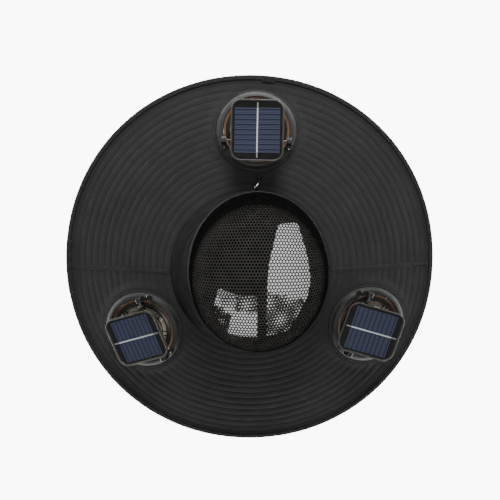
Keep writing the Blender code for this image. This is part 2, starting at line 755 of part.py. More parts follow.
def make_panel(place, hinge, parts, cutters):
    """The tilting tray on its two arms and pins, with the solar cell and its silver bar."""
    top = PANEL_ABOVE_PIN
    bottom = top - PANEL_THICKNESS
    outline = rounded_outline(PANEL_LENGTH, PANEL_WIDTH, PANEL_CORNER)
    outline = [(x + PANEL_FORWARD, y) for x, y in outline]
    name = f"panel_{place.name}"
    panel = add_object(name, prism_mesh(name, outline, bottom, top), "panel_plastic", parts, hinge)
    inner = rounded_outline(PANEL_LENGTH - 2 * PANEL_LIP, PANEL_WIDTH - 2 * PANEL_LIP, PANEL_CORNER - PANEL_LIP)
    inner = [(x + PANEL_FORWARD, y) for x, y in inner]
    floor = top - PANEL_RECESS
    recess = prism_mesh("recess", inner, floor, top + 2 * MM)
    boolean(panel, add_object(f"panel_recess_{place.name}", recess, None, cutters, hinge), "DIFFERENCE")
    for side, sign in (("a", 1), ("b", -1)):
        outer = PANEL_WIDTH / 2 - 0.4 * MM
        near = sign * outer
        far = sign * (outer - ARM_THICKNESS)
        low = (-ARM_LENGTH / 2, min(near, far), -ARM_LENGTH / 2)
        high = (ARM_LENGTH / 2, max(near, far), bottom + 1.0 * MM)
        arm = add_object(f"panel_arm_{place.name}_{side}", box_mesh("arm", low, high), None, cutters, hinge)
        boolean(panel, arm, "UNION")
        reach = BRACKET_INNER + BRACKET_WIDTH - 0.4 * MM
        pin = pin_mesh("pin", PIN_RADIUS, sign * (outer - ARM_THICKNESS / 2), sign * reach)
        boolean(panel, add_object(f"panel_pin_{place.name}_{side}", pin, None, cutters, hinge), "UNION")
    cell_foot = floor + GAP
    low = (PANEL_FORWARD - CELL_LENGTH / 2, -CELL_WIDTH / 2, cell_foot)
    high = (PANEL_FORWARD + CELL_LENGTH / 2, CELL_WIDTH / 2, cell_foot + CELL_THICKNESS)
    add_object(f"solar_cell_{place.name}", box_mesh("cell", low, high), "solar_blue", parts, hinge)
    bar_foot = cell_foot + CELL_THICKNESS + GAP
    low = (PANEL_FORWARD - BUSBAR_LENGTH / 2, -BUSBAR_WIDTH / 2, bar_foot)
    high = (PANEL_FORWARD + BUSBAR_LENGTH / 2, BUSBAR_WIDTH / 2, bar_foot + BUSBAR_THICKNESS)
    add_object(f"busbar_{place.name}", box_mesh("busbar", low, high), "silver", parts, hinge)


def make_frames(parts):
    """The empties that carry each fan unit and its tilting panel."""
    frames = {}
    hinges = {}
    for place in FANS:
        frame = bpy.data.objects.new(f"frame_{place.name}", None)
        parts.objects.link(frame)
        frame.matrix_world = fan_matrix(place)
        hinge = bpy.data.objects.new(f"hinge_{place.name}", None)
        parts.objects.link(hinge)
        hinge.parent = frame
        hinge.location = (-HINGE_BACK, 0.0, HINGE_HEIGHT)
        hinge.rotation_euler = (0.0, -math.radians(place.panel_tilt), 0.0)
        frames[place.name] = frame
        hinges[place.name] = hinge
    return frames, hinges


def main():
    """Builds the whole hat."""
    clear_scene()
    parts = new_collection("fan_sun_hat")
    cutters = new_collection("cutters")
    frames, hinges = make_frames(parts)
    make_brim(parts, cutters, frames)
    make_tape(parts)
    make_side_seams(parts)
    make_crown(parts, cutters)
    make_hook(parts)
    for place in FANS:
        frame = frames[place.name]
        make_flange(place, frame, parts, cutters)
        make_duct(place, frame, parts, cutters)
        make_rotor(place, frame, parts, cutters)
        make_guard(place, frame, parts)
        make_brackets(place, frame, parts, cutters)
        make_panel(place, hinges[place.name], parts, cutters)


main()
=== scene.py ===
"""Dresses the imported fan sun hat: quilted cloth, net crown, fan units, light and camera.

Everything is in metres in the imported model's frame: +Z up, +Y towards the hat's front, the rim on the
floor. Each sub-assembly is a class that builds its meshes and hands them over as pieces, each with its
finish, the body that it rides on and the CAD nodes that it stands for.
"""
import logging
import math
from collections.abc import Callable, Iterable, Sequence
from dataclasses import dataclass, field
from enum import Enum

import bmesh
import bpy
import numpy as np
from mathutils import Matrix, Vector, noise

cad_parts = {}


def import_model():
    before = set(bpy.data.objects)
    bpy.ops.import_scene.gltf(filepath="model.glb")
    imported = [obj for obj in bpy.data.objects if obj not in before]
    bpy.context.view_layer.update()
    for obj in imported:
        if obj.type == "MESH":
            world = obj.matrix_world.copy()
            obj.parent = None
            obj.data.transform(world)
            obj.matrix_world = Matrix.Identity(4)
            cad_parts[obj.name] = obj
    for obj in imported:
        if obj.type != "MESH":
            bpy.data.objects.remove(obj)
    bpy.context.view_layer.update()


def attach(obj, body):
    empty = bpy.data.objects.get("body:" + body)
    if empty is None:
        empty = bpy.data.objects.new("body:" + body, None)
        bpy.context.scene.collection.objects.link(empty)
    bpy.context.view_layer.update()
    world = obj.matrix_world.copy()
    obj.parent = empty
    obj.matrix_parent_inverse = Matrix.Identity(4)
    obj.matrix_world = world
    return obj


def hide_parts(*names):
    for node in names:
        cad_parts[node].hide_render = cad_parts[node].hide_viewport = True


LOG = logging.getLogger("fan_sun_hat")
MM = 0.001
GAP = 0.3 * MM
WELD = 0.01 * MM
FRONT_TURN = math.pi / 2
CLOTH_SHARP = 80.0
NET_SHARP = 60.0
HARD_SHARP = 40.0

Points = np.ndarray
Profile = Sequence[tuple[float, float]]
Layout = Callable[[Points, Points], Points]
Triple = tuple[float, float, float]
Socket = bpy.types.NodeSocket
Shape = bmesh.types.BMesh
Piece = bpy.types.Object


class Slot(Enum):
    """The record's material slots."""

    BRIM = "brim_cloth"
    TAPE = "tape_cloth"
    NET = "net"
    LINING = "lining_cloth"
    PLASTIC = "fan_plastic"
    BRONZE = "fan_bronze"
    MOTOR = "motor_metal"
    PANEL = "panel_plastic"
    CELL = "solar_blue"
    SILVER = "silver"


@dataclass(frozen=True)
class CrownLevel:
    """One level of the crown, as shares of the crown's height, width and length."""

    height: float
    lean_x: float
    lean_y: float
    width: float
    length: float


@dataclass(frozen=True)
class FanPlace:
    """Where a fan unit stands on the brim, and how its panel is turned; angles in degrees."""

    name: str
    turn: float
    share: float
    heading: float
    panel_tilt: float


CROWN_LEVELS = (
    CrownLevel(0.00, 0.000, 0.000, 1.000, 1.000),
    CrownLevel(0.20, 0.046, 0.012, 0.856, 0.984),
    CrownLevel(0.42, 0.048, 0.012, 0.846, 0.970),
    CrownLevel(0.62, 0.046, 0.008, 0.812, 0.925),
    CrownLevel(0.79, 0.040, 0.004, 0.735, 0.835),
    CrownLevel(0.91, 0.032, 0.000, 0.590, 0.670),
    CrownLevel(0.975, 0.028, 0.000, 0.360, 0.420),
    CrownLevel(1.00, 0.026, 0.000, 0.000, 0.000),
)
FANS = (
    FanPlace("front", 87.5, 0.522, 88.7, 6.0),
    FanPlace("left", 210.6, 0.427, 201.5, -9.5),
    FanPlace("right", 333.4, 0.494, 342.2, 8.0),
)


def smooth_step(value: Points) -> Points:
    """An eased share between 0 and 1."""
    held = np.clip(value, 0.0, 1.0)
    return held * held * (3 - 2 * held)


@dataclass
class HatForm:
    """The hat's driving sizes, and the surfaces that every piece is laid on."""

    brim_width: float = 440 * MM
    brim_length: float = 440 * MM
    squareness: float = 2.04
    brim_cloth: float = 2.2 * MM
    rim_height: float = 3.6 * MM
    seam_height: float = 37.5 * MM
    tape_cloth: float = 1.0 * MM
    tape_width: float = 6.0 * MM
    crown_width: float = 185 * MM
    crown_length: float = 182 * MM
    back_shift: float = 4.5 * MM
    crown_height: float = 97 * MM
    flange_radius: float = 48.5 * MM
    flat_margin: float = 1.5 * MM
    flat_blend: float = 9.0 * MM
    curve_steps: int = 24
    frames: dict[str, Matrix] = field(default_factory=dict)

    def __post_init__(self) -> None:
        """Walks the crown's profile once and finds the fans' frames."""
        self.runs, self.rows = self.walk_profile()
        self.top_run = float(self.runs[-1])
        for place in FANS:
            self.frames[place.name] = self.fan_matrix(place)

    def walk_profile(self) -> tuple[Points, Points]:
        """Smooths the crown's levels into one curve.

        Returns:
            The distance walked up from the seam at each sample, and the level's values there.
        """
        levels = np.array([(v.height, v.lean_x, v.lean_y, v.width, v.length) for v in CROWN_LEVELS])
        before = 2 * levels[0] - levels[1]
        beyond = levels[-2] * (1, 1, 1, -1, -1)
        knots = np.vstack([before, levels, beyond])
        samples = []
        for index in range(len(levels) - 1):
            a, b, c, d = knots[index : index + 4]
            for share in np.linspace(0, 1, self.curve_steps, endpoint=False):
                linear = (c - a) * share
                square = (2 * a - 5 * b + 4 * c - d) * share**2
                cube = (3 * b - 3 * c + d - a) * share**3
                samples.append(b + (linear + square + cube) / 2)
        samples.append(levels[-1])
        rows = np.array(samples)
        radius = rows[:, 3] * self.crown_width / 2
        height = rows[:, 0] * self.crown_height
        steps = np.hypot(np.diff(radius), np.diff(height))
        return np.concatenate([[0.0], np.cumsum(steps)]), rows

    def run_at(self, height: float) -> float:
        """The distance up the crown at a share of its height."""
        return float(np.interp(height, self.rows[:, 0], self.runs))

    def crown(self, turn: Points, run: Points, inset: float = 0.0) -> Points:
        """Points of the crown's form.

        Args:
            turn: Angles round the crown in radians, 0 at +X.
            run: Distances walked up from the seam; below 0 they go straight down.
            inset: How much smaller the form is on every side.

        Returns:
            An array whose last axis is x, y, z.
        """
        turn, run = np.broadcast_arrays(np.asarray(turn, float), np.asarray(run, float))
        height, lean_x, lean_y, width, length = (
            np.interp(run, self.runs, self.rows[:, column]) for column in range(5)
        )
        x = (self.crown_width / 2 - inset) * width * np.cos(turn) + lean_x * self.crown_width
        y = (self.crown_length / 2 - inset) * length * np.sin(turn) + lean_y * self.crown_length
        z = self.seam_height + height * (self.crown_height - inset) + np.minimum(run, 0.0)
        return np.stack([x, y - self.back_shift, z], axis=-1)

    def rim(self, turn: Points, inset: Points) -> Points:
        """Points of the brim's outline, x and y, a distance inside the hat's edge."""
        power = 2 / self.squareness
        cosine, sine = np.cos(turn), np.sin(turn)
        x = np.sign(cosine) * np.abs(cosine) ** power * (self.brim_width / 2 - inset)
        y = np.sign(sine) * np.abs(sine) ** power * (self.brim_length / 2 - inset)
        return np.stack([x, y], axis=-1)

    def cone(self, turn: Points, share: Points) -> Points:
        """Points of the brim's upper face before it is flattened under the fans."""
        turn, share = np.broadcast_arrays(np.asarray(turn, float), np.asarray(share, float))
        inner = self.crown(turn, 0.0, -GAP)[..., :2]
        outer = self.rim(turn, self.tape_cloth + GAP)
        flat = inner + (outer - inner) * share[..., None]
        height = self.seam_height + (self.rim_height - self.seam_height) * share
        return np.concatenate([flat, height[..., None]], axis=-1)

    def flatness(self, point: Points, frame: Matrix, blend: float) -> Points:
        """How far a point belongs to the flat place under a fan, from 0 to 1."""
        distance = np.linalg.norm(point - np.array(frame.translation), axis=-1)
        return 1 - smooth_step((distance - self.flange_radius - self.flat_margin) / blend)

    def brim(self, turn: Points, share: Points) -> Points:
        """Points of the brim's upper face, flat under each fan's flange."""
        point = self.cone(turn, share)
        for frame in self.frames.values():
            middle = np.array(frame.translation)
            normal = np.array(frame.col[2][:3])
            offset = point - middle
            plane = middle[2] - (normal[0] * offset[..., 0] + normal[1] * offset[..., 1]) / normal[2]
            weight = self.flatness(point, frame, self.flat_blend)
            point[..., 2] += (plane - point[..., 2]) * weight
        return point

    def slope(self) -> float:
        """How much the brim rises for each metre towards the crown."""
        run = np.linalg.norm((self.cone(0.0, 1.0) - self.cone(0.0, 0.0))[:2])
        return float((self.seam_height - self.rim_height) / run)

    def drop(self) -> float:
        """The brim's thickness measured straight down."""
        return self.brim_cloth * math.sqrt(1 + self.slope() ** 2)

    def fan_matrix(self, place: FanPlace) -> Matrix:
        """The frame of a fan unit: X along its heading, Z square to the brim."""
        turn = math.radians(place.turn)
        step = 0.01
        middle = Vector(self.cone(turn, place.share))
        outward = Vector(self.cone(turn, place.share + step)) - middle
        sideways = Vector(self.cone(turn + step, place.share)) - middle
        normal = outward.cross(sideways).normalized()
        heading = math.radians(place.heading)
        ahead = Vector((math.cos(heading), math.sin(heading), 0.0))
        ahead = (ahead - normal * ahead.dot(normal)).normalized()
        turned_frame = Matrix((ahead, normal.cross(ahead), normal)).transposed().to_4x4()
        return Matrix.Translation(middle) @ turned_frame


class Shader:
    """A material's node tree, with a short call for each kind of node that it needs."""

    def __init__(self, name: str) -> None:
        """Starts a material with its principled shader.

        Args:
            name: The material's name.
        """
        self.material = bpy.data.materials.new(name)
        self.material.use_nodes = True
        self.nodes = self.material.node_tree.nodes
        self.links = self.material.node_tree.links
        self.surface = self.nodes["Principled BSDF"]

    def put(self, target: Socket, value: object) -> None:
        """Sets a socket, or joins it to another socket."""
        if isinstance(value, bpy.types.NodeSocket):
            self.links.new(value, target)
        elif isinstance(value, tuple) and len(value) == 3 and target.type == "RGBA":
            target.default_value = (*value, 1.0)
        else:
            target.default_value = value

    def finish(self, **values: object) -> None:
        """Sets the principled shader's sockets; an underscore stands for a space."""
        for name, value in values.items():
            self.put(self.surface.inputs[name.replace("_", " ")], value)

    def math(self, operation: str, first: object, second: object = 0.0, held: bool = False) -> Socket:
        """A math node."""
        made = self.nodes.new("ShaderNodeMath")
        made.operation = operation
        made.use_clamp = held
        self.put(made.inputs[0], first)
        self.put(made.inputs[1], second)
        return made.outputs[0]

    def mix(self, share: object, first: object, second: object) -> Socket:
        """A mix of two colours."""
        made = self.nodes.new("ShaderNodeMix")
        made.data_type = "RGBA"
        self.put(made.inputs[0], share)
        self.put(made.inputs[6], first)
        self.put(made.inputs[7], second)
        return made.outputs[2]

    def place(self) -> Socket:
        """The place on the object, in metres."""
        return self.nodes.new("ShaderNodeTexCoord").outputs["Object"]

    def height(self) -> Socket:
        """The height on the object."""
        parts = self.nodes.new("ShaderNodeSeparateXYZ")
        self.put(parts.inputs[0], self.place())
        return parts.outputs[2]

    def from_middle(self) -> Socket:
        """The distance from the object's origin."""
        made = self.nodes.new("ShaderNodeVectorMath")
        made.operation = "LENGTH"
        self.put(made.inputs[0], self.place())
        return made.outputs["Value"]

    def across_along(self) -> tuple[Socket, Socket]:
        """The two directions of the piece's own UV map, in metres."""
        coordinates = self.nodes.new("ShaderNodeTexCoord").outputs["UV"]
        parts = self.nodes.new("ShaderNodeSeparateXYZ")
        self.put(parts.inputs[0], coordinates)
        return parts.outputs[0], parts.outputs[1]

    def noise(self, size: float, detail: float = 2.0, stretch: Triple | None = None) -> Socket:
        """Noise on the place on the object.

        Args:
            size: The size of its features in metres.
            detail: How many finer octaves it has.
            stretch: Scale factors of the three directions.

        Returns:
            The noise's value, about 0 to 1.
        """
        made = self.nodes.new("ShaderNodeTexNoise")
        place = self.place()
        if stretch:
            mapping = self.nodes.new("ShaderNodeMapping")
            mapping.inputs["Scale"].default_value = stretch
            self.put(mapping.inputs["Vector"], place)
            place = mapping.outputs[0]
        self.put(made.inputs["Vector"], place)
        made.inputs["Scale"].default_value = 1.0 / size
        made.inputs["Detail"].default_value = detail
        return made.outputs[0]

    def spread(self, value: Socket, low: float, high: float, first: float, last: float) -> Socket:
        """Maps a value from one range to another and holds it there."""
        made = self.nodes.new("ShaderNodeMapRange")
        for index, amount in enumerate((low, high, first, last), start=1):
            made.inputs[index].default_value = amount
        self.put(made.inputs[0], value)
        return made.outputs[0]

    def bump(self, height: Socket, depth: float, below: Socket | None = None) -> Socket:
        """A bump of a depth in metres, over another bump where one is given."""
        made = self.nodes.new("ShaderNodeBump")
        made.inputs["Distance"].default_value = depth
        self.put(made.inputs["Height"], height)
        if below:
            self.put(made.inputs["Normal"], below)
        return made.outputs[0]


@dataclass(frozen=True)
class Finish:
    """A finish with a name; each kind paints its own nodes."""

    name: str

    def material(self) -> bpy.types.Material:
        """The finish's material, made the first time it is asked for."""
        found = bpy.data.materials.get(self.name)
        if found:
            return found
        shader = Shader(self.name)
        self.paint(shader)
        return shader.material

    def paint(self, shader: Shader) -> None:
        """Adds the finish's nodes."""
        raise NotImplementedError


def shaded(colour: Triple, factor: float) -> Triple:
    """A colour made lighter or darker."""
    return tuple(min(part * factor, 1.0) for part in colour)


@dataclass(frozen=True)
class Cloth(Finish):
    """Plain-woven cloth with fuzz, a soft sheen and faint uneven dye."""

    colour: Triple
    thread: float = 0.55 * MM
    weave_depth: float = 0.10 * MM
    roughness: float = 0.82
    sheen: float = 0.12
    mottle: float = 0.16
    specular: float = 0.3

    def paint(self, shader: Shader) -> None:
        """Adds the weave on the piece's UV map with a painted highlight on its raised crossings, and the
        dye and fuzz on its place.
        """
        across, along = shader.across_along()
        warp = shader.math("SINE", shader.math("MULTIPLY", across, math.pi / self.thread))
        weft = shader.math("SINE", shader.math("MULTIPLY", along, math.pi / self.thread))
        weave = shader.math("MULTIPLY_ADD", shader.math("MULTIPLY", warp, weft), 0.5)
        weave.node.inputs[2].default_value = 0.5
        dye = shader.spread(shader.noise(30 * MM, 4.0), 0.3, 0.7, 0.0, 1.0)
        dark = shaded(self.colour, 1 - self.mottle)
        light = shaded(self.colour, 1 + self.mottle)
        base = shader.mix(dye, dark, light)
        # Painted highlight: the raised crossings of the weave are lightened towards a brighter copy of the
        # colour.
        crossings_highlit = shader.mix(shader.spread(weave, 0.0, 1.0, 0.0, 0.35), base, shaded(self.colour, 1.9))
        fuzz = shader.noise(0.35 * MM, 3.0)
        under = shader.bump(shader.noise(4 * MM, 2.0, (1.0, 1.0, 0.5)), 0.25 * MM)
        normal = shader.bump(fuzz, 0.08 * MM, shader.bump(weave, self.weave_depth, under))
        rough = shader.spread(fuzz, 0.2, 0.8, self.roughness - 0.08, self.roughness + 0.08)
        shader.finish(Base_Color=crossings_highlit, Roughness=rough, Normal=normal, Sheen_Weight=self.sheen)
        shader.finish(Sheen_Roughness=0.5, Specular_IOR_Level=self.specular)


@dataclass(frozen=True)
class NetThread(Finish):
    """Net or sewing thread with its fibres as fine bump, and a painted shade that darkens it towards a
    foot height.
    """

    colour: Triple
    roughness: float = 0.52
    # Painted shade: from the lower height up to the upper one the thread goes from foot_share of its
    # colour to its full colour.
    shade_foot_height: float = 0.0
    shade_end_height: float = 1 * MM
    foot_share: float = 0.25
    specular: float = 0.25

    def paint(self, shader: Shader) -> None:
        """Adds the uneven dye, the painted shade that is deepest at the foot and fades out above, and the
        fibres.
        """
        dye = shader.spread(shader.noise(12 * MM, 3.0), 0.3, 0.7, 0.0, 1.0)
        fibres = shader.noise(0.18 * MM, 3.0)
        dyed_thread = shader.mix(dye, shaded(self.colour, 0.8), shaded(self.colour, 1.25))
        # Painted shade: the thread is darker low on the dome, where its steep walls stand in shade.
        painted_shade_fade = shader.spread(shader.height(), self.shade_foot_height, self.shade_end_height, 0.0, 1.0)
        base = shader.mix(painted_shade_fade, shaded(self.colour, self.foot_share), dyed_thread)
        rough = shader.spread(fibres, 0.2, 0.8, self.roughness - 0.1, self.roughness + 0.12)
        shader.finish(Base_Color=base, Roughness=rough, Normal=shader.bump(fibres, 0.12 * MM))
        shader.finish(Specular_IOR_Level=self.specular)


@dataclass(frozen=True)
class Plastic(Finish):
    """Moulded plastic with a fine spark-eroded grain and faint handling marks."""

    colour: Triple
    roughness: float = 0.38
    grain: float = 0.35 * MM
    grain_depth: float = 0.02 * MM
    coat: float = 0.0
    marks: float = 0.35

    def paint(self, shader: Shader) -> None:
        """Adds the grain, the smudges and a few fine scratches."""
        smudges = shader.spread(shader.noise(9 * MM, 4.0), 0.35, 0.75, 0.0, 1.0)
        scratches = shader.spread(shader.noise(1.2 * MM, 3.0, (1.0, 0.08, 1.0)), 0.62, 0.75, 0.0, 1.0)
        grain = shader.noise(self.grain, 2.0)
        base = shader.mix(smudges, shaded(self.colour, 0.85), shaded(self.colour, 1.2))
        base = shader.mix(shader.math("MULTIPLY", scratches, self.marks), base, shaded(self.colour, 2.2))
        rough = shader.spread(smudges, 0.0, 1.0, self.roughness - 0.06, self.roughness + 0.10)
        normal = shader.bump(grain, self.grain_depth)
        shader.finish(Base_Color=base, Roughness=rough, Normal=normal, Coat_Weight=self.coat)
        shader.finish(Coat_Roughness=0.08)


@dataclass(frozen=True)
class Metal(Finish):
    """Bare metal with fine brushing and cloudy patches."""

    colour: Triple
    roughness: float = 0.28

    def paint(self, shader: Shader) -> None:
        """Adds the brushing and the patches."""
        patches = shader.noise(5 * MM, 3.0)
        brushing = shader.noise(0.3 * MM, 2.0, (1.0, 0.1, 1.0))
        base = shader.mix(patches, shaded(self.colour, 0.8), self.colour)
        rough = shader.spread(patches, 0.2, 0.8, self.roughness - 0.08, self.roughness + 0.12)
        normal = shader.bump(brushing, 0.015 * MM)
        shader.finish(Base_Color=base, Roughness=rough, Metallic=1.0, Normal=normal)


@dataclass(frozen=True)
class TinnedBar(Finish):
    """A tinned copper strip whose solder lies in bright dabs over the cell and grey at its ends."""

    bright: Triple = (0.90, 0.92, 0.94)
    dull: Triple = (0.34, 0.34, 0.33)
    dab: float = 2.8 * MM
    reach: float = 24.5 * MM

    def paint(self, shader: Shader) -> None:
        """Adds the dabs along the strip, on its own map."""
        along, _ = shader.across_along()
        wave = shader.math("SINE", shader.math("MULTIPLY", along, math.tau / self.dab))
        dabs = shader.spread(wave, -0.9, -0.3, 0.25, 1.0)
        over_cell = shader.math("LESS_THAN", shader.math("ABSOLUTE", along), self.reach)
        share = shader.math("MULTIPLY", dabs, over_cell)
        grain = shader.noise(0.4 * MM, 3.0)
        rough = shader.spread(grain, 0.3, 0.7, 0.42, 0.60)
        shader.finish(Base_Color=shader.mix(share, self.dull, self.bright), Metallic=0.7, Roughness=rough)
        shader.finish(Normal=shader.bump(dabs, 0.05 * MM, shader.bump(grain, 0.02 * MM)))


@dataclass(frozen=True)
class SolarCell(Finish):
    """Blue silicon under clear resin, with printed fingers across the busbar in grouped bands."""

    colour: Triple = (0.024, 0.030, 0.060)
    other_colour: Triple = (0.028, 0.026, 0.066)
    finger_colour: Triple = (0.125, 0.152, 0.250)
    line_colour: Triple = (0.004, 0.005, 0.012)
    band: float = 5.62 * MM
    fingers: int = 3
    line_share: float = 0.17
    half_shift: float = 0.8 * MM
    specular: float = 0.35

    def paint(self, shader: Shader) -> None:
        """Adds the fingers and band lines on the cell's own map, with crystal clouds."""
        along, across = shader.across_along()
        half = shader.math("GREATER_THAN", across, 0.0)
        shifted = shader.math("MULTIPLY_ADD", half, self.half_shift)
        shader.put(shifted.node.inputs[2], along)
        bands = shader.math("MULTIPLY", shader.math("ADD", shifted, 1.0), 1 / self.band)
        in_band = shader.math("FRACT", bands)
        line = shader.math("LESS_THAN", in_band, self.line_share)
        wave = shader.math("COSINE", shader.math("MULTIPLY", in_band, math.tau * self.fingers))
        finger = shader.spread(wave, -0.6, 0.9, 0.0, 1.0)
        tint = shader.math("FRACT", shader.math("MULTIPLY", shader.math("FLOOR", bands), 0.37))
        clouds = shader.spread(shader.noise(7 * MM, 3.0), 0.3, 0.7, 0.0, 1.0)
        plain = shader.mix(tint, self.colour, self.other_colour)
        silicon = shader.mix(clouds, plain, self.colour)
        base = shader.mix(shader.math("MULTIPLY", finger, 0.5), silicon, self.finger_colour)
        base = shader.mix(line, base, self.line_colour)
        ripple = shader.bump(shader.noise(10 * MM, 2.0), 0.06 * MM)
        shader.finish(Base_Color=base, Roughness=0.32, Normal=ripple, Specular_IOR_Level=self.specular)
        shader.finish(Coat_Weight=0.35, Coat_Roughness=0.1)


@dataclass(frozen=True)
class Floor(Finish):
    """A pale sheet that is lit a little from below, as a light table is."""

    colour: Triple = (0.86, 0.86, 0.86)
    glow: float = 9.0
    shaded_glow: float = 0.8
    shade_radius: float = 206 * MM
    lit_radius: float = 218 * MM

    def paint(self, shader: Shader) -> None:
        """Adds a faint unevenness to a sheet whose glow is painted weak under the hat, as a painted shade.
        """
        clouds = shader.noise(0.5, 2.0)
        base = shader.mix(clouds, shaded(self.colour, 0.985), self.colour)
        shader.finish(Base_Color=base, Roughness=0.7, Specular_IOR_Level=0.1)
        # Painted shade: the glow falls from its full strength to shaded_glow inside the hat's outline.
        glow = shader.spread(
            shader.from_middle(), self.shade_radius, self.lit_radius, self.shaded_glow, self.glow
        )
        shader.finish(Emission_Color=(1.0, 1.0, 1.0), Emission_Strength=glow)


BRIM_CLOTH = Cloth("brim_polyester", (0.0250, 0.0250, 0.0262))
SEAM_CLOTH = Cloth("seam_polyester", (0.0225, 0.0225, 0.0235), thread=0.5 * MM)
TAPE_CLOTH = Cloth(
    "edge_tape", (0.0100, 0.0100, 0.0108), thread=0.8 * MM, weave_depth=0.16 * MM, sheen=0.05
)
BAND_CLOTH = Cloth("band_polyester", (0.0130, 0.0130, 0.0138), thread=0.45 * MM, sheen=0.0, specular=0.1)
LINING_CLOTH = Cloth("lining_taffeta", (0.0040, 0.0040, 0.0044), thread=0.4 * MM, sheen=0.0, specular=0.1)
SWEAT_CLOTH = Cloth("sweatband_cotton", (0.0120, 0.0120, 0.0128), thread=1.1 * MM, weave_depth=0.25 * MM)
STITCH_THREAD = NetThread("sewing_thread", (0.016, 0.016, 0.017))
# The net's thread carries a painted shade down the dome's walls, full at 104 mm and gone at 132 mm.
NET_THREAD = NetThread(
    "net_thread", (0.060, 0.058, 0.054), shade_foot_height=104 * MM, shade_end_height=132 * MM,
    foot_share=0.08, specular=0.0,
)
INNER_NET_THREAD = NetThread("inner_net_thread", (0.030, 0.030, 0.029))
FLANGE_PLASTIC = Plastic("flange_plastic", (0.017, 0.017, 0.016), roughness=0.56)
GUARD_PLASTIC = Plastic("guard_plastic", (0.012, 0.011, 0.010), roughness=0.36)
BRACKET_PLASTIC = Plastic("bracket_plastic", (0.014, 0.014, 0.013), roughness=0.46)
TRAY_PLASTIC = Plastic("tray_plastic", (0.070, 0.068, 0.058), roughness=0.34)
PIN_PLASTIC = Plastic("pin_plastic", (0.110, 0.108, 0.100), roughness=0.38)
DUCT_PLASTIC = Plastic("duct_plastic", (0.190, 0.105, 0.062), roughness=0.40)
BLADE_PLASTIC = Plastic("blade_plastic", (0.820, 0.710, 0.570), roughness=0.45, marks=0.1)
RESIN = Plastic("resin_margin", (0.006, 0.006, 0.006), roughness=0.16, grain_depth=0.004 * MM, coat=0.8)
TIN = TinnedBar("tinned_bar")
STEEL = Metal("steel_wire", (0.62, 0.62, 0.60), roughness=0.24)
MOTOR_STEEL = Metal("motor_can", (0.45, 0.45, 0.46), roughness=0.32)


@dataclass(frozen=True)
class Dress:
    """What a piece is made of, what carries it and which CAD nodes it stands for."""

    finish: Finish
    slot: Slot
    body: str = "hat"
    stands_for: tuple[str, ...] = ()


def to_mesh(name: str, bm: Shape) -> bpy.types.Mesh:
    """Turns a bmesh into a mesh, and uses it up."""
    mesh = bpy.data.meshes.new(name)
    bm.to_mesh(mesh)
    bm.free()
    return mesh


def link(name: str, data: bpy.types.ID) -> Piece:
    """Makes an object of a mesh, a light or a camera and puts it in the scene."""
    obj = bpy.data.objects.new(name, data)
    bpy.context.scene.collection.objects.link(obj)
    return obj


def add_piece(
    name: str, bm: Shape, dress: Dress, matrix: Matrix | None = None, sharp: float = HARD_SHARP
) -> Piece:
    """Turns a bmesh into a finished piece of the object.

    Args:
        name: The piece's name.
        bm: The shape, which is used up.
        dress: Its finish, body and the nodes that it replaces; its slot is not read here.
        matrix: Where the shape stands, if it was built round its own origin.
        sharp: Edges past this angle in degrees stay crisp.

    Returns:
        The piece's object, at the origin.
    """
    if matrix:
        bm.transform(matrix)
    mesh = to_mesh(name, bm)
    mesh.shade_smooth()
    mesh.set_sharp_from_angle(angle=math.radians(sharp))
    mesh.materials.append(dress.finish.material())
    obj = link(name, mesh)
    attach(obj, dress.body)
    if dress.stands_for:
        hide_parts(*dress.stands_for)
    LOG.info("%s: %d faces on %s", name, len(mesh.polygons), dress.body)
    return obj


def add_wall(obj: Piece, thickness: float, offset: float = -1.0) -> None:
    """Gives a sheet its thickness."""
    wall = obj.modifiers.new("wall", "SOLIDIFY")
    wall.thickness = thickness
    wall.offset = offset


def add_sheet(name: str, bm: Shape, dress: Dress, thickness: float) -> Piece:
    """Adds a sheet of cloth as a piece and gives it its thickness."""
    obj = add_piece(name, bm, dress, sharp=CLOTH_SHARP)
    add_wall(obj, thickness)
    return obj


def soften(obj: Piece, width: float, segments: int = 2, angle: float = 35.0) -> None:
    """Rounds the crisp edges of a hard piece."""
    bevel = obj.modifiers.new("soften", "BEVEL")
    bevel.width = width
    bevel.segments = segments
    bevel.limit_method = "ANGLE"
    bevel.angle_limit = math.radians(angle)


def settle(obj: Piece) -> None:
    """Applies the object's modifiers to its mesh."""
    bpy.context.view_layer.update()
    graph = bpy.context.evaluated_depsgraph_get()
    mesh = bpy.data.meshes.new_from_object(obj.evaluated_get(graph))
    obj.modifiers.clear()
    obj.data = mesh


def carve(obj: Piece, tools: Iterable[Shape]) -> None:
    """Cuts closed shapes, which are used up, out of a closed piece and applies the result."""
    helpers = []
    for index, bm in enumerate(tools):
        helper = link(f"tool_{index}", to_mesh(f"tool_{index}", bm))
        helpers.append(helper)
        cut = obj.modifiers.new(helper.name, "BOOLEAN")
        cut.operation = "DIFFERENCE"
        cut.object = helper
        cut.solver = "EXACT"
    settle(obj)
    for helper in helpers:
        bpy.data.objects.remove(helper, do_unlink=True)
    obj.data.set_sharp_from_angle(angle=math.radians(HARD_SHARP))


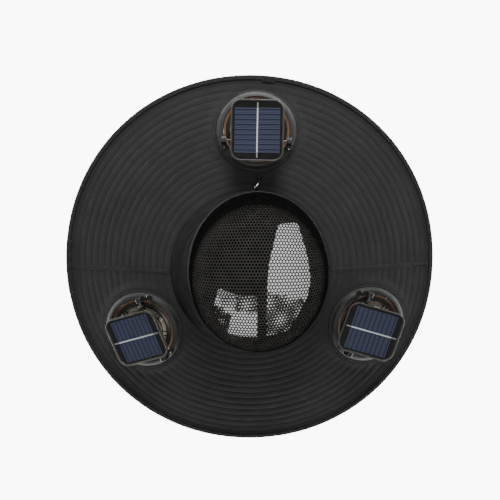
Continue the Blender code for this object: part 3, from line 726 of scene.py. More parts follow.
def sheet(across: int, along: int, place: Layout, size: tuple[float, float], around: bool) -> Shape:
    """Lays a grid on a surface.

    Args:
        across: Faces in the first direction.
        along: Faces in the second direction.
        place: Gives the points for shares of the two directions.
        size: The sheet's real size in the two directions, for its UV map.
        around: Whether the first direction closes on itself.

    Returns:
        The sheet.
    """
    bm = bmesh.new()
    chart = bm.loops.layers.uv.new("UVMap")
    bmesh.ops.create_grid(bm, x_segments=across, y_segments=along, size=0.5)
    for face in bm.faces:
        for loop in face.loops:
            spot = loop.vert.co
            loop[chart].uv = ((spot.x + 0.5) * size[0], (spot.y + 0.5) * size[1])
    flat = np.array([vert.co for vert in bm.verts])
    for vert, point in zip(bm.verts, place(flat[:, 0] + 0.5, flat[:, 1] + 0.5)):
        vert.co = point
    if around:
        bmesh.ops.remove_doubles(bm, verts=bm.verts, dist=WELD)
    return bm


def face_out(bm: Shape) -> None:
    """Makes a shape's faces agree, and point outwards where it is closed."""
    bmesh.ops.recalc_face_normals(bm, faces=bm.faces)


def face_up(bm: Shape) -> None:
    """Turns the faces of a sheet that look down."""
    for face in bm.faces:
        if face.normal.z < 0:
            face.normal_flip()


def push_out(point: Points, turn: Points, out: Points) -> None:
    """Moves points away from the hat's middle, each along its own turn."""
    point[:, 0] += np.cos(turn) * out
    point[:, 1] += np.sin(turn) * out


def round_corners(bm: Shape, radius: float, segments: int) -> None:
    """Rounds the corners of a flat face."""
    bmesh.ops.bevel(
        bm, geom=bm.verts[:], offset=radius, segments=segments, profile=0.5, affect="VERTICES", material=-1
    )


def raise_flat(bm: Shape, height: float) -> None:
    """Turns a flat face into a closed prism."""
    raised = bmesh.ops.extrude_face_region(bm, geom=bm.faces[:])["geom"]
    lifted = [item for item in raised if isinstance(item, bmesh.types.BMVert)]
    bmesh.ops.translate(bm, vec=(0.0, 0.0, height), verts=lifted)
    face_out(bm)


def thick_plate(bm: Shape, thickness: float, angle: float) -> Shape:
    """Gives a sheet its thickness and turns it about the Z axis by an angle in radians."""
    face_out(bm)
    bmesh.ops.solidify(bm, geom=bm.faces[:], thickness=thickness)
    bmesh.ops.rotate(bm, cent=(0, 0, 0), matrix=Matrix.Rotation(angle, 3, "Z"), verts=bm.verts)
    face_out(bm)
    return bm


def turned(profile: Profile, steps: int, closed: bool = True) -> Shape:
    """Spins a profile of (radius, height) points round the Z axis.

    Args:
        profile: The points; a profile that isn't closed starts and ends on the axis.
        steps: Faces in a full turn.
        closed: Whether the last point joins the first.

    Returns:
        A closed shape whose faces point outwards.
    """
    bm = bmesh.new()
    verts = [bm.verts.new((radius, 0.0, height)) for radius, height in profile]
    pairs = list(zip(verts, verts[1:]))
    if closed:
        pairs.append((verts[-1], verts[0]))
    edges = [bm.edges.new(pair) for pair in pairs]
    middle = (0, 0, 0)
    bmesh.ops.spin(
        bm, geom=verts + edges, cent=middle, axis=(0, 0, 1), dvec=middle, angle=math.tau,
        steps=steps, use_merge=True,
    )
    bmesh.ops.remove_doubles(bm, verts=bm.verts, dist=WELD)
    face_out(bm)
    return bm


def box(low: Sequence[float], high: Sequence[float]) -> Shape:
    """A box between two corners."""
    bm = bmesh.new()
    bmesh.ops.create_cube(bm, size=1.0)
    bmesh.ops.scale(bm, vec=[abs(b - a) for a, b in zip(low, high)], verts=bm.verts)
    bmesh.ops.translate(bm, vec=[(a + b) / 2 for a, b in zip(low, high)], verts=bm.verts)
    return bm


def round_ends(bm: Shape, rounded: Callable[[float], bool], radius: float) -> None:
    """Rounds a box's edges along Y whose height passes a test."""
    edges = [
        edge for edge in bm.edges
        if all(rounded(vert.co.z) for vert in edge.verts)
        and abs(edge.verts[0].co.x - edge.verts[1].co.x) < WELD
    ]
    bmesh.ops.bevel(bm, geom=edges, offset=radius, segments=6, profile=0.5, affect="EDGES", material=-1)


def rod(start: Sequence[float], end: Sequence[float], radius: float, segments: int) -> Shape:
    """A round bar between two points."""
    bm = bmesh.new()
    first, last = Vector(start), Vector(end)
    turn = (last - first).to_track_quat("Z", "Y").to_matrix().to_4x4()
    matrix = Matrix.Translation((first + last) / 2) @ turn
    length = (last - first).length
    bmesh.ops.create_cone(
        bm, cap_ends=True, segments=segments, radius1=radius, radius2=radius, depth=length, matrix=matrix
    )
    return bm


def gather(shapes: Iterable[Shape]) -> Shape:
    """Puts several shapes into one bmesh, and uses them up."""
    whole = bmesh.new()
    for bm in shapes:
        mesh = to_mesh("part", bm)
        whole.from_mesh(mesh)
        bpy.data.meshes.remove(mesh)
    return whole


def copies(bm: Shape, matrices: Sequence[Matrix]) -> Shape:
    """Repeats one small shape at many places, as one joined mesh.

    Args:
        bm: The shape, which is used up.
        matrices: The places.

    Returns:
        All the copies in one bmesh.
    """
    corners = np.array([(*vert.co, 1.0) for vert in bm.verts])
    bm.verts.index_update()
    faces = [[vert.index for vert in face.verts] for face in bm.faces]
    bm.free()
    places = np.array([np.array(matrix) for matrix in matrices])
    points = np.einsum("nij,vj->nvi", places, corners)[..., :3].reshape(-1, 3)
    count = len(corners)
    starts = range(0, count * len(matrices), count)
    repeated = [[start + index for index in face] for start in starts for face in faces]
    mesh = bpy.data.meshes.new("copies")
    mesh.from_pydata(points.tolist(), [], repeated)
    whole = bmesh.new()
    whole.from_mesh(mesh)
    bpy.data.meshes.remove(mesh)
    return whole


def stitch_matrices(path: Points, normals: Points, length: float, thickness: float) -> list[Matrix]:
    """Places for a row of stitches.

    Args:
        path: The stitches' middles, in their order.
        normals: The cloth's normal at each.
        length: A stitch's length.
        thickness: A stitch's thickness.

    Returns:
        One matrix for each stitch, which scales a unit ball to the stitch.
    """
    ahead = np.gradient(path, axis=0)
    ahead /= np.linalg.norm(ahead, axis=1, keepdims=True)
    side = np.cross(normals, ahead)
    side /= np.linalg.norm(side, axis=1, keepdims=True)
    up = np.cross(ahead, side)
    matrices = []
    for spot, x, y, z in zip(path, ahead, side, up):
        frame = Matrix.Identity(4)
        frame.col[0][:3] = x * length / 2
        frame.col[1][:3] = y * thickness / 2
        frame.col[2][:3] = z * thickness / 2
        frame.col[3][:3] = spot
        matrices.append(frame)
    return matrices


def stitch_bead() -> Shape:
    """A unit ball of 20 faces, which is stretched into a stitch."""
    bm = bmesh.new()
    bmesh.ops.create_icosphere(bm, subdivisions=1, radius=1.0)
    return bm


def surface_normals(place: Layout, turn: Points, share: Points) -> Points:
    """The upward normals of a surface that is given by a turn and a share."""
    step = 1e-3
    along = place(turn, share + step) - place(turn, share - step)
    across = place(turn + step, share) - place(turn - step, share)
    normal = np.cross(across, along)
    normal *= np.sign(normal[..., 2:3])
    return normal / np.linalg.norm(normal, axis=-1, keepdims=True)


@dataclass
class Brim:
    """The quilted brim with its stitched rows, edge tape, laps and side seams."""

    form: HatForm
    rows: int = 16
    facets: int = 360
    relief: float = 0.42 * MM
    hole_radius: float = 40.5 * MM
    stitch_pitch: float = 3.0 * MM
    stitch_length: float = 2.3 * MM
    stitch_thickness: float = 0.42 * MM
    seam_width: float = 4.6 * MM
    seam_length: float = 127 * MM
    seam_cloth: float = 0.9 * MM
    seam_turns: dict[str, float] = field(default_factory=lambda: {"left": 181.2, "right": 359.6})
    laps: dict[str, tuple[float, float]] = field(
        default_factory=lambda: {"front": (82.6, 86.4), "left": (173.0, 189.5)}
    )
    lap_cloth: float = 0.8 * MM
    lap_overhang: float = 1.2 * MM
    quilt_fade: float = 6 * MM
    edge_fit: float = 6 * MM
    row_shift: float = 0.37
    thread_level: float = 0.25
    tape_fold: float = 4 * MM
    pucker_depth: float = 0.10 * MM
    tape_stitch_inset: float = 4.9 * MM
    tape_stitch_pitch: float = 2.6 * MM
    tape_stitch_length: float = 1.9 * MM
    tape_stitch_thickness: float = 0.45 * MM

    def row_stations(self) -> tuple[Points, Points]:
        """The shares across the brim, and how high the padding stands at each.

        Returns:
            The shares and the heights, from 0 in a stitched groove to 1 between two.
        """
        places = np.array([0.0, 0.08, 0.24, 0.50, 0.76, 0.92])
        heights = np.array([0.0, 0.42, 0.86, 1.0, 0.86, 0.42])
        shares = [(row + places) / self.rows for row in range(self.rows)]
        return np.append(np.concatenate(shares), 1.0), np.append(np.tile(heights, self.rows), 0.0)

    def quilted(self, turn: Points, share: Points, height: Points) -> Points:
        """The brim's upper face with its padding raised between the rows."""
        point = self.form.brim(turn, share)
        level = np.ones_like(share)
        for frame in self.form.frames.values():
            level = np.minimum(level, 1 - self.form.flatness(point, frame, self.quilt_fade))
        uneven = 1 + 0.18 * np.sin(turn * 7 + share * 31) + 0.14 * np.sin(turn * 23 + share * 90)
        point[..., 2] += self.relief * (height * uneven - self.thread_level) * level
        return point

    def cloth(self) -> None:
        """Makes the quilted cloth, with a hole under each fan."""
        shares, heights = self.row_stations()
        count = len(shares) - 1

        def place(u: Points, v: Points) -> Points:
            index = np.rint(v * count).astype(int)
            return self.quilted(u * math.tau, shares[index], heights[index])

        bm = sheet(self.facets, count, place, (970 * MM, 130 * MM), around=True)
        for frame in self.form.frames.values():
            self.cut_hole(bm, frame)
        face_up(bm)
        dress = Dress(BRIM_CLOTH, Slot.BRIM, stands_for=("brim",))
        add_sheet("brim_cloth", bm, dress, self.form.brim_cloth)

    def cut_hole(self, bm: Shape, frame: Matrix) -> None:
        """Cuts a round hole about a fan's axis and trues its edge."""
        bm.normal_update()
        inverse = frame.inverted()
        near = [
            face for face in bm.faces
            if (inverse @ face.calc_center_median()).to_2d().length < self.hole_radius
        ]
        bmesh.ops.delete(bm, geom=near, context="FACES")
        for vert in bm.verts:
            if vert.is_boundary:
                local = inverse @ vert.co
                flat = local.to_2d()
                if 0 < flat.length < self.hole_radius + self.edge_fit:
                    flat = flat.normalized() * self.hole_radius
                    vert.co = frame @ Vector((flat.x, flat.y, local.z))

    def rows_of_stitches(self) -> None:
        """Makes the thread that shows in each groove."""
        matrices = []
        keep_off = self.form.flange_radius + self.form.flat_margin
        for row in range(1, self.rows):
            share = row / self.rows
            ring = self.form.brim(np.linspace(0, math.tau, 181), share)
            length = np.linalg.norm(np.diff(ring, axis=0), axis=1).sum()
            count = round(length / self.stitch_pitch)
            turn = np.arange(count) * math.tau / count + row * self.row_shift
            shares = np.full(count, share)
            path = self.quilted(turn, shares, np.full(count, self.thread_level))
            normals = surface_normals(self.form.brim, turn, shares)
            for matrix in stitch_matrices(path, normals, self.stitch_length, self.stitch_thickness):
                offsets = [matrix.translation - frame.translation for frame in self.form.frames.values()]
                if min(offset.length for offset in offsets) > keep_off:
                    matrices.append(matrix)
        add_piece("brim_stitches", copies(stitch_bead(), matrices), Dress(STITCH_THREAD, Slot.BRIM))

    def tape_path(self) -> tuple[Points, Points]:
        """The tape's outer face in section, from its lower hem round the edge to its upper hem.

        Returns:
            The distances in from the hat's edge, and the heights.
        """
        top = self.tape_top(0.0)
        nose = top / 2
        angles = np.linspace(-math.pi / 2, math.pi / 2, 9)
        width, fold = self.form.tape_width, self.tape_fold
        inset = np.concatenate([[width, fold], nose * (1 - np.cos(angles)), [fold, width]])
        upper = [self.tape_top(fold), self.tape_top(width)]
        height = np.concatenate([[0.0, 0.0], nose * (1 + np.sin(angles)), upper])
        return inset, height

    def tape_top(self, inset: float) -> float:
        """The height of the tape's upper face a distance in from the edge."""
        form = self.form
        cloth = form.rim_height + (inset - form.tape_cloth - GAP) * form.slope()
        return cloth + GAP + form.tape_cloth

    def tape(self) -> None:
        """Makes the tape folded over the brim's edge, with its puckers and its stitching."""
        inset, height = self.tape_path()
        count = len(inset) - 1

        def place(u: Points, v: Points) -> Points:
            index = np.rint(v * count).astype(int)
            turn = u * math.tau
            pucker = np.sin(turn * 150 + 2 * np.sin(turn * 9)) * np.sin(turn * 41)
            depth = self.pucker_depth * (1 + pucker) * (height[index] > 1 * MM)
            flat = self.form.rim(turn, inset[index] + depth)
            return np.column_stack([flat, height[index] - depth * (inset[index] > 3 * MM)])

        bm = sheet(720, count, place, (1380 * MM, 15 * MM), around=True)
        face_out(bm)
        dress = Dress(TAPE_CLOTH, Slot.TAPE, stands_for=("brim_tape",))
        add_sheet("edge_tape", bm, dress, self.form.tape_cloth * 0.9)
        self.tape_stitches()

    def tape_stitches(self) -> None:
        """Makes the stitches along the tape's upper hem."""
        line = self.tape_stitch_inset
        turn = np.arange(0, math.tau, self.tape_stitch_pitch / (self.form.brim_width / 2))
        height = np.full(len(turn), self.tape_top(line) + 0.02 * MM)
        path = np.column_stack([self.form.rim(turn, np.full(len(turn), line)), height])
        normals = np.tile((0.0, 0.0, 1.0), (len(turn), 1))
        matrices = stitch_matrices(path, normals, self.tape_stitch_length, self.tape_stitch_thickness)
        add_piece("tape_stitches", copies(stitch_bead(), matrices), Dress(STITCH_THREAD, Slot.TAPE))

    def tape_laps(self) -> None:
        """Makes the two places where the tape's ends lie over each other."""
        for name, (first, last) in self.laps.items():
            width = self.form.tape_width + self.lap_overhang

            def place(u: Points, v: Points) -> Points:
                turn = np.radians(first + (last - first) * u)
                inset = GAP + width * v
                edge = np.minimum(np.minimum(u, 1 - u) * 60, 1.0) * np.minimum(v * 8, 1.0)
                slope = self.form.slope()
                height = self.tape_top(0.0) + inset * slope + 0.25 * MM + self.lap_cloth * 0.75 * edge
                height = height + 0.12 * MM * np.sin(u * 37 + v * 3)
                return np.column_stack([self.form.rim(turn, inset), height])

            bm = sheet(48, 10, place, (math.radians(last - first) * 220 * MM, width), around=False)
            dress = Dress(TAPE_CLOTH, Slot.TAPE, stands_for=(f"tape_lap_{name}",))
            add_sheet(f"lap_{name}", bm, dress, 0.25 * MM)

    def side_seams(self) -> None:
        """Makes the two ribs where the brim's halves are joined, each with a stitched edge."""
        first, last = 0.01, 1 - 5.5 * MM / self.seam_length
        for side, degrees in self.seam_turns.items():
            middle = math.radians(degrees)

            def place(u: Points, v: Points) -> Points:
                share = first + (last - first) * u
                base = self.form.brim(np.full_like(u, middle), share)
                outward = np.array([math.cos(middle), math.sin(middle)])
                across = np.array([-outward[1], outward[0]])
                offset = (v - 0.5) * self.seam_width
                base[:, :2] += across * offset[:, None]
                crown = 1 - (2 * v - 1) ** 8 - 0.45 * np.exp(-(((np.abs(2 * v - 1) - 0.62) / 0.09) ** 2))
                ripple = 0.12 * MM * np.sin(u * 90) * crown
                base[:, 2] += 0.32 * MM + self.seam_cloth * crown * 0.85 + ripple
                return base

            bm = sheet(90, 26, place, (self.seam_length, self.seam_width), around=False)
            bm.normal_update()
            face_up(bm)
            dress = Dress(SEAM_CLOTH, Slot.BRIM, stands_for=(f"side_seam_{side}",))
            add_sheet(f"seam_rib_{side}", bm, dress, 0.3 * MM)

    def build(self) -> None:
        """Makes the whole brim."""
        self.cloth()
        self.rows_of_stitches()
        self.tape()
        self.tape_laps()
        self.side_seams()


@dataclass(frozen=True)
class NetLayer:
    """A second layer of net behind a window; corners in millimetres from the apex on the spread net."""

    name: str
    corners: tuple[tuple[float, float], ...]
    hole_share: float
    turn: float

    def covers(self, x: Points, y: Points) -> Points:
        """Says which places lie inside the layer's outline, whose corners run clockwise."""
        inside = np.ones_like(x, dtype=bool)
        for (x0, y0), (x1, y1) in zip(self.corners, self.corners[1:] + self.corners[:1]):
            inside &= (x1 - x0) * (y / MM - y0) - (y1 - y0) * (x / MM - x0) <= 0
        return inside


NET_LAYERS = (
    NetLayer("left_upper", ((-45, 1), (-23, -3), (-22, -28), (-40, -29)), 0.74, 4.0),
    NetLayer("left_inner", ((-24, -9), (4, -9), (4, -28), (-23, -29)), 0.56, 8.0),
    NetLayer("left_outer", ((-66, -10), (-41, -25), (-26, -29), (-47, -92), (-78, -80)), 0.34, 12.0),
    NetLayer("left_foot", ((-50, -58), (4, -58), (4, -84), (-48, -88)), 0.25, 0.0),
    NetLayer("right_lower", ((6, -8), (56, -18), (60, -52), (34, -72), (4, -70)), 0.60, 7.0),
)


@dataclass
class Crown:
    """The cloth band, the net dome over the windowed lining, and the sweatband."""

    form: HatForm
    band_cloth: float = 1.6 * MM
    net_thickness: float = 0.7 * MM
    net_pitch: float = 3.45 * MM
    hole_share: float = 0.68
    top_share: float = 0.62
    lining_inset: float = 2.8 * MM
    lining_cloth: float = 0.7 * MM
    sweatband_width: float = 28 * MM
    sweatband_cloth: float = 1.5 * MM
    fold_depth: float = 1.5 * MM
    windows: dict[str, tuple[tuple[float, float], ...]] = field(
        default_factory=lambda: {
            "right": (
                (0.31, 0.64), (0.54, 0.64), (0.65, 0.26), (0.69, -0.02), (0.65, -0.24), (0.57, -0.39),
                (0.42, -0.65), (0.175, -0.71), (0.18, -0.11), (0.20, 0.19),
            ),
            "left": (
                (-0.38, -0.10), (-0.18, -0.18), (0.066, -0.18), (0.067, -0.775), (-0.29, -0.775),
                (-0.44, -0.36),
            ),
        }
    )

    def __post_init__(self) -> None:
        """Finds where the band ends and the net begins."""
        self.band_run = self.form.run_at(CROWN_LEVELS[1].height)

    def band(self) -> None:
        """Makes the cloth band with its long slack folds."""
        low = -self.form.drop()
        reach = self.band_run - low

        def place(u: Points, v: Points) -> Points:
            turn = u * math.tau
            run = low + reach * v
            point = self.form.crown(turn, run)
            free = smooth_step(run / (5 * MM)) * smooth_step((self.band_run - run) / (4 * MM))
            slack = np.array([
                noise.noise(Vector((math.cos(t) * 2.2, math.sin(t) * 2.2, r * 190 + t * 1.3)))
                for t, r in zip(turn, run)
            ])
            ridge = 1 - np.abs(slack) * 2.2
            foot = 1 - smooth_step(run / (2 * MM))
            push_out(point, turn, self.fold_depth * free * (0.25 + 0.75 * ridge) + 0.6 * MM * foot)
            return point

        bm = sheet(300, 36, place, (560 * MM, 24 * MM), around=True)
        face_out(bm)
        dress = Dress(BAND_CLOTH, Slot.BRIM, stands_for=("crown_band",))
        add_sheet("band_cloth", bm, dress, self.band_cloth * 0.8)

    def binding(self) -> None:
        """Makes the narrow bound seam that joins the net to the band, with a fine ripple along it."""
        width = 4.2 * MM

        def place(u: Points, v: Points) -> Points:
            turn = u * math.tau
            run = self.band_run + (v - 0.45) * width
            point = self.form.crown(turn, run)
            out = 0.25 * MM + 0.75 * MM * np.sqrt(np.clip(1 - (2 * v - 1) ** 2, 0, 1))
            push_out(point, turn, out + 0.12 * MM * np.sin(turn * 90) * np.sin(turn * 17))
            return point

        bm = sheet(360, 8, place, (530 * MM, width), around=True)
        face_out(bm)
        add_sheet("net_binding", bm, Dress(TAPE_CLOTH, Slot.TAPE), 0.25 * MM)

    def hole_cell(self, hole_share: float) -> Shape:
        """One cell of the net: six faces between its outline and its hole."""
        bm = bmesh.new()
        outline = self.net_pitch / math.sqrt(3)
        bmesh.ops.create_circle(bm, cap_ends=True, segments=6, radius=outline)
        band = outline * math.cos(math.pi / 6) * (1 - hole_share)
        bmesh.ops.inset_region(
            bm, faces=bm.faces[:], thickness=band, use_boundary=True, use_even_offset=True
        )
        middle = min(bm.faces, key=lambda face: face.calc_center_median().length)
        bmesh.ops.delete(bm, geom=[middle], context="FACES_ONLY")
        return bm

    def lattice(
        self, reach: float, keep: Layout, hole_share: float, turn: float = 0.0
    ) -> Shape:
        """Repeats the net's cell over a flat disc.

        Args:
            reach: The disc's radius.
            keep: Says which cells stay, by the flat places of their middles.
            hole_share: How much of a cell's width is its hole.
            turn: How far the rows are turned, in degrees.

        Returns:
            The flat net, its cells welded to each other.
        """
        pitch, step = self.net_pitch, self.net_pitch * math.sqrt(3) / 2
        rows = int(reach / step) + 1
        columns = int(reach / pitch) + 1
        grid = [
            ((column + (row % 2) / 2) * pitch, row * step)
            for row in range(-rows, rows + 1)
            for column in range(-columns, columns + 1)
        ]
        rotation = Matrix.Rotation(math.radians(turn), 4, "Z")
        spots = np.array(grid) @ np.array(rotation.to_2x2()).T
        spots = spots[keep(spots[:, 0], spots[:, 1])]
        places = [Matrix.Translation((x, y, 0.0)) @ rotation for x, y in spots]
        bm = copies(self.hole_cell(hole_share), places)
        bmesh.ops.remove_doubles(bm, verts=bm.verts, dist=0.02 * MM)
        return bm

    def drape(self, bm: Shape, inset: float) -> None:
        """Lays a flat net over the dome, middle on top."""
        flat = np.array([vert.co for vert in bm.verts])
        radius = np.hypot(flat[:, 0], flat[:, 1])
        turn = np.arctan2(flat[:, 1], flat[:, 0])
        run = np.clip(self.form.top_run - radius, self.band_run - 0.5 * MM, None)
        for vert, point in zip(bm.verts, self.form.crown(turn, run, inset)):
            vert.co = point
        bm.normal_update()
        centre = Vector((0.0, 0.0, self.form.seam_height))
        for face in bm.faces:
            if face.normal.dot(face.calc_center_median() - centre) < 0:
                face.normal_flip()

    def net(self) -> None:
        """Makes the net in two pieces, the top and the walls."""
        reach = self.form.top_run - self.band_run
        parting = reach * self.top_share
        zones = {"top": (0.0, parting), "wall": (parting, reach)}
        for name, (inner, outer) in zones.items():
            bm = self.lattice(
                reach, lambda x, y: (np.hypot(x, y) >= inner) & (np.hypot(x, y) < outer), self.hole_share
            )
            self.drape(bm, 0.0)
            dress = Dress(NET_THREAD, Slot.NET, stands_for=("crown_net",))
            obj = add_piece(f"net_{name}", bm, dress, sharp=NET_SHARP)
            add_wall(obj, self.net_thickness)

    def lining(self) -> None:
        """Makes the lining with its two windows."""
        foot = self.sweatband_width + 0.5 * MM
        top = self.form.top_run

        def place(u: Points, v: Points) -> Points:
            turn = u * math.tau
            run = foot + (top - foot) * v
            slack = 0.5 * MM * (1 + np.sin(turn * 5 + v * 9) * np.sin(v * 17 + turn * 2))
            point = self.form.crown(turn, run, self.lining_inset)
            point[:, 2] -= slack * smooth_step(v * 3)
            return point

        bm = sheet(160, 56, place, (520 * MM, 130 * MM), around=True)
        face_out(bm)
        dress = Dress(LINING_CLOTH, Slot.LINING, stands_for=("crown_lining",))
        obj = add_sheet("lining", bm, dress, self.lining_cloth)
        carve(obj, [self.window_tool(corners) for corners in self.windows.values()])

    def window_tool(self, corners: Sequence[tuple[float, float]]) -> Shape:
        """A prism through the lining with a window's outline, its corners rounded."""
        bm = bmesh.new()
        half_width, half_length = self.form.crown_width / 2, self.form.crown_length / 2
        foot = self.form.seam_height + 36 * MM
        bm.faces.new([bm.verts.new((x * half_width, y * half_length, foot)) for x, y in corners])
        round_corners(bm, 4 * MM, 4)
        raise_flat(bm, 80 * MM)
        return bm

    def inner_nets(self) -> None:
        """Makes the layers of net that hang behind parts of the windows."""
        inset = self.lining_inset + self.lining_cloth + 0.8 * MM
        for layer in NET_LAYERS:
            bm = self.lattice(110 * MM, layer.covers, layer.hole_share, layer.turn)
            self.drape(bm, inset)
            dress = Dress(INNER_NET_THREAD, Slot.NET)
            obj = add_piece(f"inner_net_{layer.name}", bm, dress, sharp=NET_SHARP)
            add_wall(obj, 0.4 * MM)

    def sweatband(self) -> None:
        """Makes the sweatband inside the band."""
        low = -self.form.drop()
        inset = self.band_cloth + 0.45 * MM

        def place(u: Points, v: Points) -> Points:
            turn = u * math.tau
            run = low + (self.sweatband_width - low) * v
            point = self.form.crown(turn, run, inset)
            inward = 0.2 * MM * (1 + np.sin(turn * 60)) * smooth_step(v * 6) * smooth_step((1 - v) * 6)
            push_out(point, turn, -inward)
            return point

        bm = sheet(240, 20, place, (540 * MM, 31 * MM), around=True)
        face_out(bm)
        dress = Dress(SWEAT_CLOTH, Slot.LINING, stands_for=("sweatband",))
        add_sheet("sweatband_cloth", bm, dress, self.sweatband_cloth * 0.8)

    def build(self) -> None:
        """Makes the whole crown."""
        self.band()
        self.binding()
        self.net()
        self.lining()
        self.inner_nets()
        self.sweatband()


@dataclass
class Hook:
    """The bent wire at the front of the crown seam, and the thread loop at its end."""

    form: HatForm
    wire: float = 2.0 * MM
    start_side: float = 3.6 * MM
    side: float = 5.6 * MM
    arch: float = 5.0 * MM
    cord: float = 1.2 * MM
    loop_share: float = 0.15
    loop_clearance: float = 1.6 * MM

    def front_point(self, side: float, share: float) -> Vector:
        """A point of the brim in front of the crown, a distance to the right."""
        middle = self.form.cone(FRONT_TURN, share)
        turn = FRONT_TURN - math.asin(side / (middle[1] + self.form.back_shift * (1 - share)))
        return Vector(self.form.cone(turn, share))

    def tube(self, name: str, points: Sequence[Vector], radius: float, dress: Dress, cyclic: bool) -> None:
        """Makes a smooth round tube through points, as a mesh."""
        curve = bpy.data.curves.new(name, "CURVE")
        curve.dimensions = "3D"
        curve.bevel_depth = radius
        curve.bevel_resolution = 4
        curve.use_fill_caps = not cyclic
        spline = curve.splines.new("NURBS")
        spline.points.add(len(points) - 1)
        for target, point in zip(spline.points, points):
            target.co = (*point, 1.0)
        spline.use_cyclic_u = cyclic
        spline.use_endpoint_u = True
        spline.order_u = 4
        spline.resolution_u = 4
        source = bpy.data.objects.new(name, curve)
        bm = bmesh.new()
        bm.from_mesh(source.to_mesh())
        bpy.data.objects.remove(source)
        bmesh.ops.remove_doubles(bm, verts=bm.verts, dist=WELD)
        add_piece(name, bm, dress, sharp=70)

    def build(self) -> None:
        """Makes the wire and the loop."""
        start, end = self.form.cone(FRONT_TURN, 0.0), self.form.cone(FRONT_TURN, 1.0)
        run = float(np.linalg.norm(end - start))
        room = run * FANS[0].share - self.form.flange_radius
        loop_radius = room * self.loop_share
        loop_ahead = room - self.loop_clearance - self.cord / 2 - loop_radius
        clear = self.wire / 2 + GAP
        reach = loop_ahead - loop_radius - self.cord / 2 - 2 * GAP - self.wire / 2 - clear
        points = []
        for step in range(9):
            share = step / 8
            point = self.front_point(self.start_side + self.side * share, (clear + reach * share) / run)
            point.z += clear + GAP + self.arch * math.sin(math.pi * share)
            points.append(point)
        dress = Dress(STEEL, Slot.SILVER, stands_for=("hook_wire",))
        self.tube("hook", points, self.wire / 2, dress, cyclic=False)
        side = self.start_side + self.side
        ring = []
        for step in range(12):
            angle = math.tau * step / 12
            ahead = loop_ahead + loop_radius * math.sin(angle)
            point = self.front_point(side + loop_radius * math.cos(angle), ahead / run)
            point.z += self.cord / 2 + GAP
            ring.append(point)
        dress = Dress(STITCH_THREAD, Slot.TAPE, stands_for=("hook_loop",))
        self.tube("thread_loop", ring, self.cord / 2, dress, cyclic=True)


